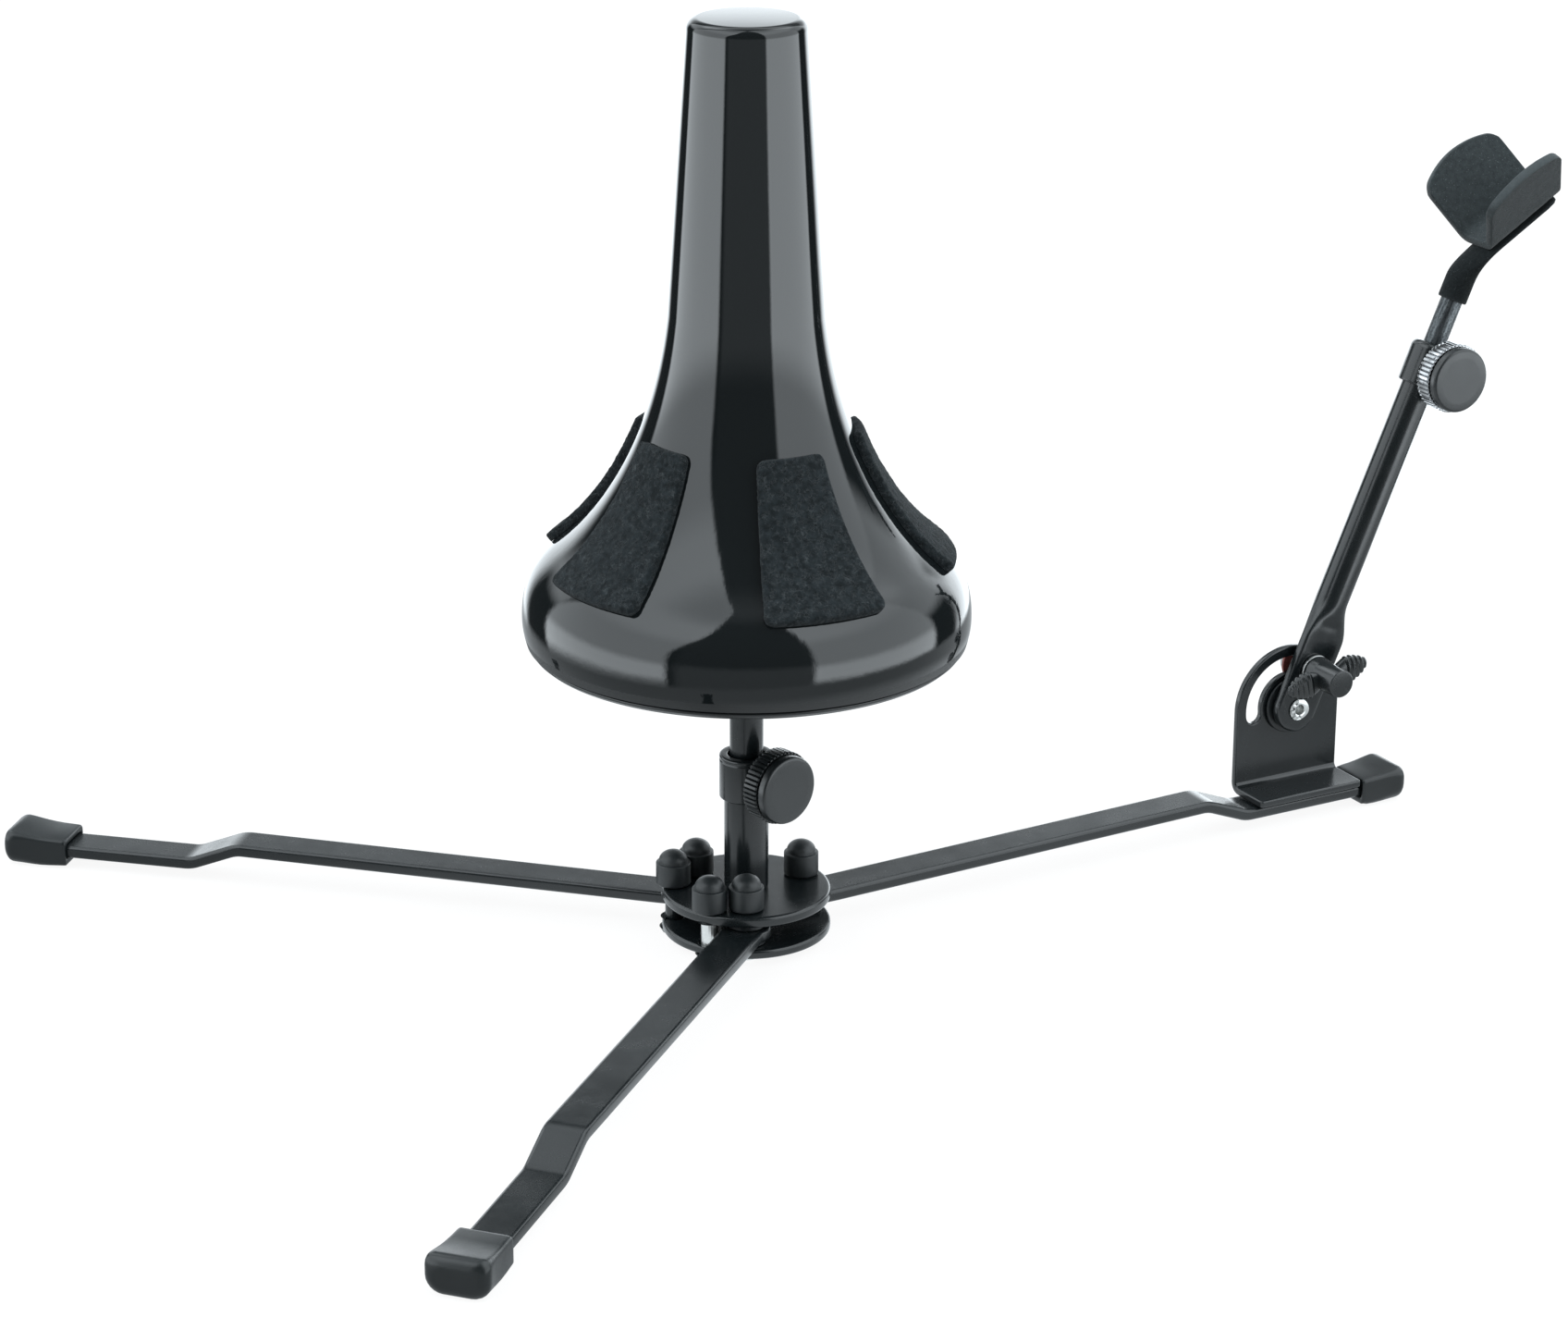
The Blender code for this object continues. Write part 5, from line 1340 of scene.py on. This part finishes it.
class Sky(Graph):
    """Node tree of the studio surround."""

    def __init__(self, world):
        self.tree = world.node_tree
        self.coords = self.add("ShaderNodeTexCoord").outputs["Generated"]

    def towards(self, direction):
        """How far a ray points in a direction."""
        node = self.add("ShaderNodeVectorMath", {0: self.coords, 1: direction}, operation="DOT_PRODUCT")
        return node.outputs["Value"]

    def ramp(self, value, low, high, to_low=0.0, to_high=1.0):
        """Value mapped from a range in degrees."""
        return self.spread(value, math.radians(low), math.radians(high), to_low, to_high)

    def window(self, value, low, high, soft):
        """1 between two values in degrees, with soft sides."""
        rise = self.ramp(value, low - soft, low + soft)
        return self.math("MULTIPLY", rise, self.ramp(value, high - soft, high + soft, 1.0, 0.0))

    def plus(self, light, more, share=None):
        """Light with more light added, which may be scaled first."""
        return self.math("ADD", light, more if share is None else self.math("MULTIPLY", more, share))


# Studio surround. Azimuths are in degrees from the side that the photograph was taken from, heights in
# degrees above the horizon. A ramp is its low and high end, then its value at each.
SOFTBOXES = ((-121, -41), (34, 109))
SOFTBOX_EDGE = 2.5
SOFTBOX_BASE = 1.5
SOFTBOX_STEPS = ((-20, -12, 2.9), (-4, 6, -1.9), (32, 48, 0.7), (58, 78, -1.3))     # heights, change
SOFTBOX_FADE = (38, 132, 1.0, 0.82)         # towards the back
SOFTBOX_LEAN = (15, 65, 0.0, math.radians(15))      # the left light's top leans round to the front
SIDE_PANELS = ((-150, -121), (109, 140))    # upper parts of the side lights, further back
SIDE_HEIGHTS = (10, 22)
SIDE_LEVEL = 0.8
FRONT_EDGE = 36
FRONT_SOFT = 4
FRONT_LIGHT = (-2, 8, 0.40, 0.09)
ROOM_LIGHT = 0.04
BACKDROP = (8, 24, 2.3, 0.46)
BACKDROP_STEP = (24, 29, 0.0, -0.34)
BACKDROP_SIDES = (150, 134)                 # left and right ends of the backdrop
BACKDROP_SOFT = 7
BACKDROP_TILT = (0.03, 0.16, 1.0, 1.7)      # brighter towards the right
REAR_LIGHT = (42, 64, 1.3)                  # low and high edge of the light behind, and its brightness
REAR_SOFT = 6
REAR_SIDES = (105, 135)
ZENITH = (66, 82, 0.0, 0.26)
SEEN_LEVEL = 1.02                           # brightness of the background that the camera sees
LIGHT_TINT = (0.93, 1.0, 1.045)


def softbox_level(sky, height, azimuth):
    """Brightness of the side lights: strongest just below the horizon, weaker towards the back."""
    level = SOFTBOX_BASE
    for low, high, change in SOFTBOX_STEPS:
        level = sky.plus(level, sky.ramp(height, low, high, 0.0, change))
    return sky.math("MULTIPLY", level, sky.ramp(sky.math("ABSOLUTE", azimuth), *SOFTBOX_FADE))


def build_world():
    """Two tall soft lights, a white backdrop and a dim front, placed round the object."""
    world = bpy.data.worlds.new("studio")
    world.use_nodes = True
    bpy.context.scene.world = world
    sky = Sky(world)
    ahead_x, ahead_y = VIEW_HEADING
    front = sky.towards((-ahead_x, -ahead_y, 0))
    right = sky.towards((ahead_y, -ahead_x, 0))
    azimuth = sky.math("ARCTAN2", right, front)
    height = sky.math("ARCSINE", sky.towards((0, 0, 1)))
    level = softbox_level(sky, height, azimuth)
    dim = sky.ramp(height, *FRONT_LIGHT)
    light = sky.plus(ROOM_LIGHT, dim, sky.window(azimuth, -FRONT_EDGE, FRONT_EDGE, FRONT_SOFT))
    lean = sky.math("SUBTRACT", azimuth, sky.ramp(height, *SOFTBOX_LEAN))
    for place, panel_edges, side_edges in zip((lean, azimuth), SOFTBOXES, SIDE_PANELS):
        panel = sky.window(place, *panel_edges, SOFTBOX_EDGE)
        side = sky.window(azimuth, *side_edges, SOFTBOX_EDGE)
        side = sky.math("MULTIPLY", side, sky.ramp(height, *SIDE_HEIGHTS))
        light = sky.plus(light, sky.plus(panel, side, SIDE_LEVEL), level)
    backdrop = sky.plus(sky.ramp(height, *BACKDROP), sky.ramp(height, *BACKDROP_STEP))
    sides = [sky.ramp(turn, side - BACKDROP_SOFT, side + BACKDROP_SOFT) for turn, side in
             zip((sky.math("MULTIPLY", azimuth, -1.0), azimuth), BACKDROP_SIDES)]
    behind = sky.math("MULTIPLY", sky.plus(*sides), sky.spread(right, *BACKDROP_TILT))
    light = sky.plus(light, behind, backdrop)
    low, high, strength = REAR_LIGHT
    rear = sky.math("MULTIPLY", sky.window(height, low, high, REAR_SOFT),
                    sky.ramp(sky.math("ABSOLUTE", azimuth), *REAR_SIDES))
    light = sky.plus(light, rear, strength)
    light = sky.plus(light, sky.ramp(height, *ZENITH))
    camera_sees = sky.add("ShaderNodeLightPath").outputs["Is Camera Ray"]
    background = world.node_tree.nodes["Background"]
    seen = sky.add("ShaderNodeMix", {"Factor": camera_sees, "A": light, "B": SEEN_LEVEL})
    sky.put(background.inputs["Strength"], seen.outputs["Result"])
    sky.put(background.inputs["Color"], sky.blend(camera_sees, LIGHT_TINT, (1.0, 1.0, 1.0)))


FLOOR_GLOSS = (1.20, 0.62)          # brightness of the floor in reflections, near the middle and far out
FLOOR_FALL = (0.10, 0.19)           # metres from the middle over which it falls
FLOOR_REACH = (0.26, 0.34)          # metres from the middle where that reflection fades out
FLOOR_HALF = 4.0
FLOOR_GLOW = 0.91
FLOOR_DROP = 0.0001                 # metres that it lies below the feet


def build_floor():
    """Pale floor that fades into the backdrop and keeps only faint contact shadows."""
    mesh = bpy.data.meshes.new("floor")
    corners = [(x * FLOOR_HALF, y * FLOOR_HALF, 0) for x, y in ((-1, -1), (1, -1), (1, 1), (-1, 1))]
    mesh.from_pydata(corners, [], [(0, 1, 2, 3)])
    g = Graph("floor_paper")
    grain = g.noise(40, 3, 0.5)
    tone = g.blend(g.spread(grain, 0.3, 0.7), (0.095, 0.096, 0.096), (0.105, 0.105, 0.105))
    g.set(Base_Color=tone, Roughness=0.9, Specular_IOR_Level=0.0, Emission_Color=(1, 1, 1, 1),
          Emission_Strength=FLOOR_GLOW)
    distance = g.add("ShaderNodeVectorMath", {0: g.coords}, operation="LENGTH").outputs["Value"]
    fade = g.spread(distance, *FLOOR_REACH)
    glow = g.add("ShaderNodeEmission", {
        "Color": (*LIGHT_TINT, 1.0), "Strength": g.spread(distance, *FLOOR_FALL, *FLOOR_GLOSS)})
    clear = g.add("ShaderNodeBsdfTransparent")
    mirror = g.add("ShaderNodeMixShader", {0: fade, 1: glow.outputs[0], 2: clear.outputs[0]})
    glossy = g.add("ShaderNodeLightPath").outputs["Is Glossy Ray"]
    both = g.add("ShaderNodeMixShader", {0: glossy, 1: g.shader.outputs[0], 2: mirror.outputs[0]})
    output = next(node for node in g.tree.nodes if node.type == "OUTPUT_MATERIAL")
    g.put(output.inputs["Surface"], both.outputs[0])
    mesh.materials.append(g.material)
    floor = bpy.data.objects.new("floor", mesh)
    floor.location.z = -FLOOR_DROP
    bpy.context.scene.collection.objects.link(floor)


build_camera()
build_hub_plates()
build_legs()
build_cap_nuts()
build_column()
build_cone()
build_pads()
build_bracket()
build_pivot()
build_arm_tube()
build_arm_clamp()
build_slot_bolt()
build_wing_nut()
build_cradle()
finish_hidden_nodes()
build_world()
build_floor()
bpy.context.scene.view_settings.view_transform = "Standard"
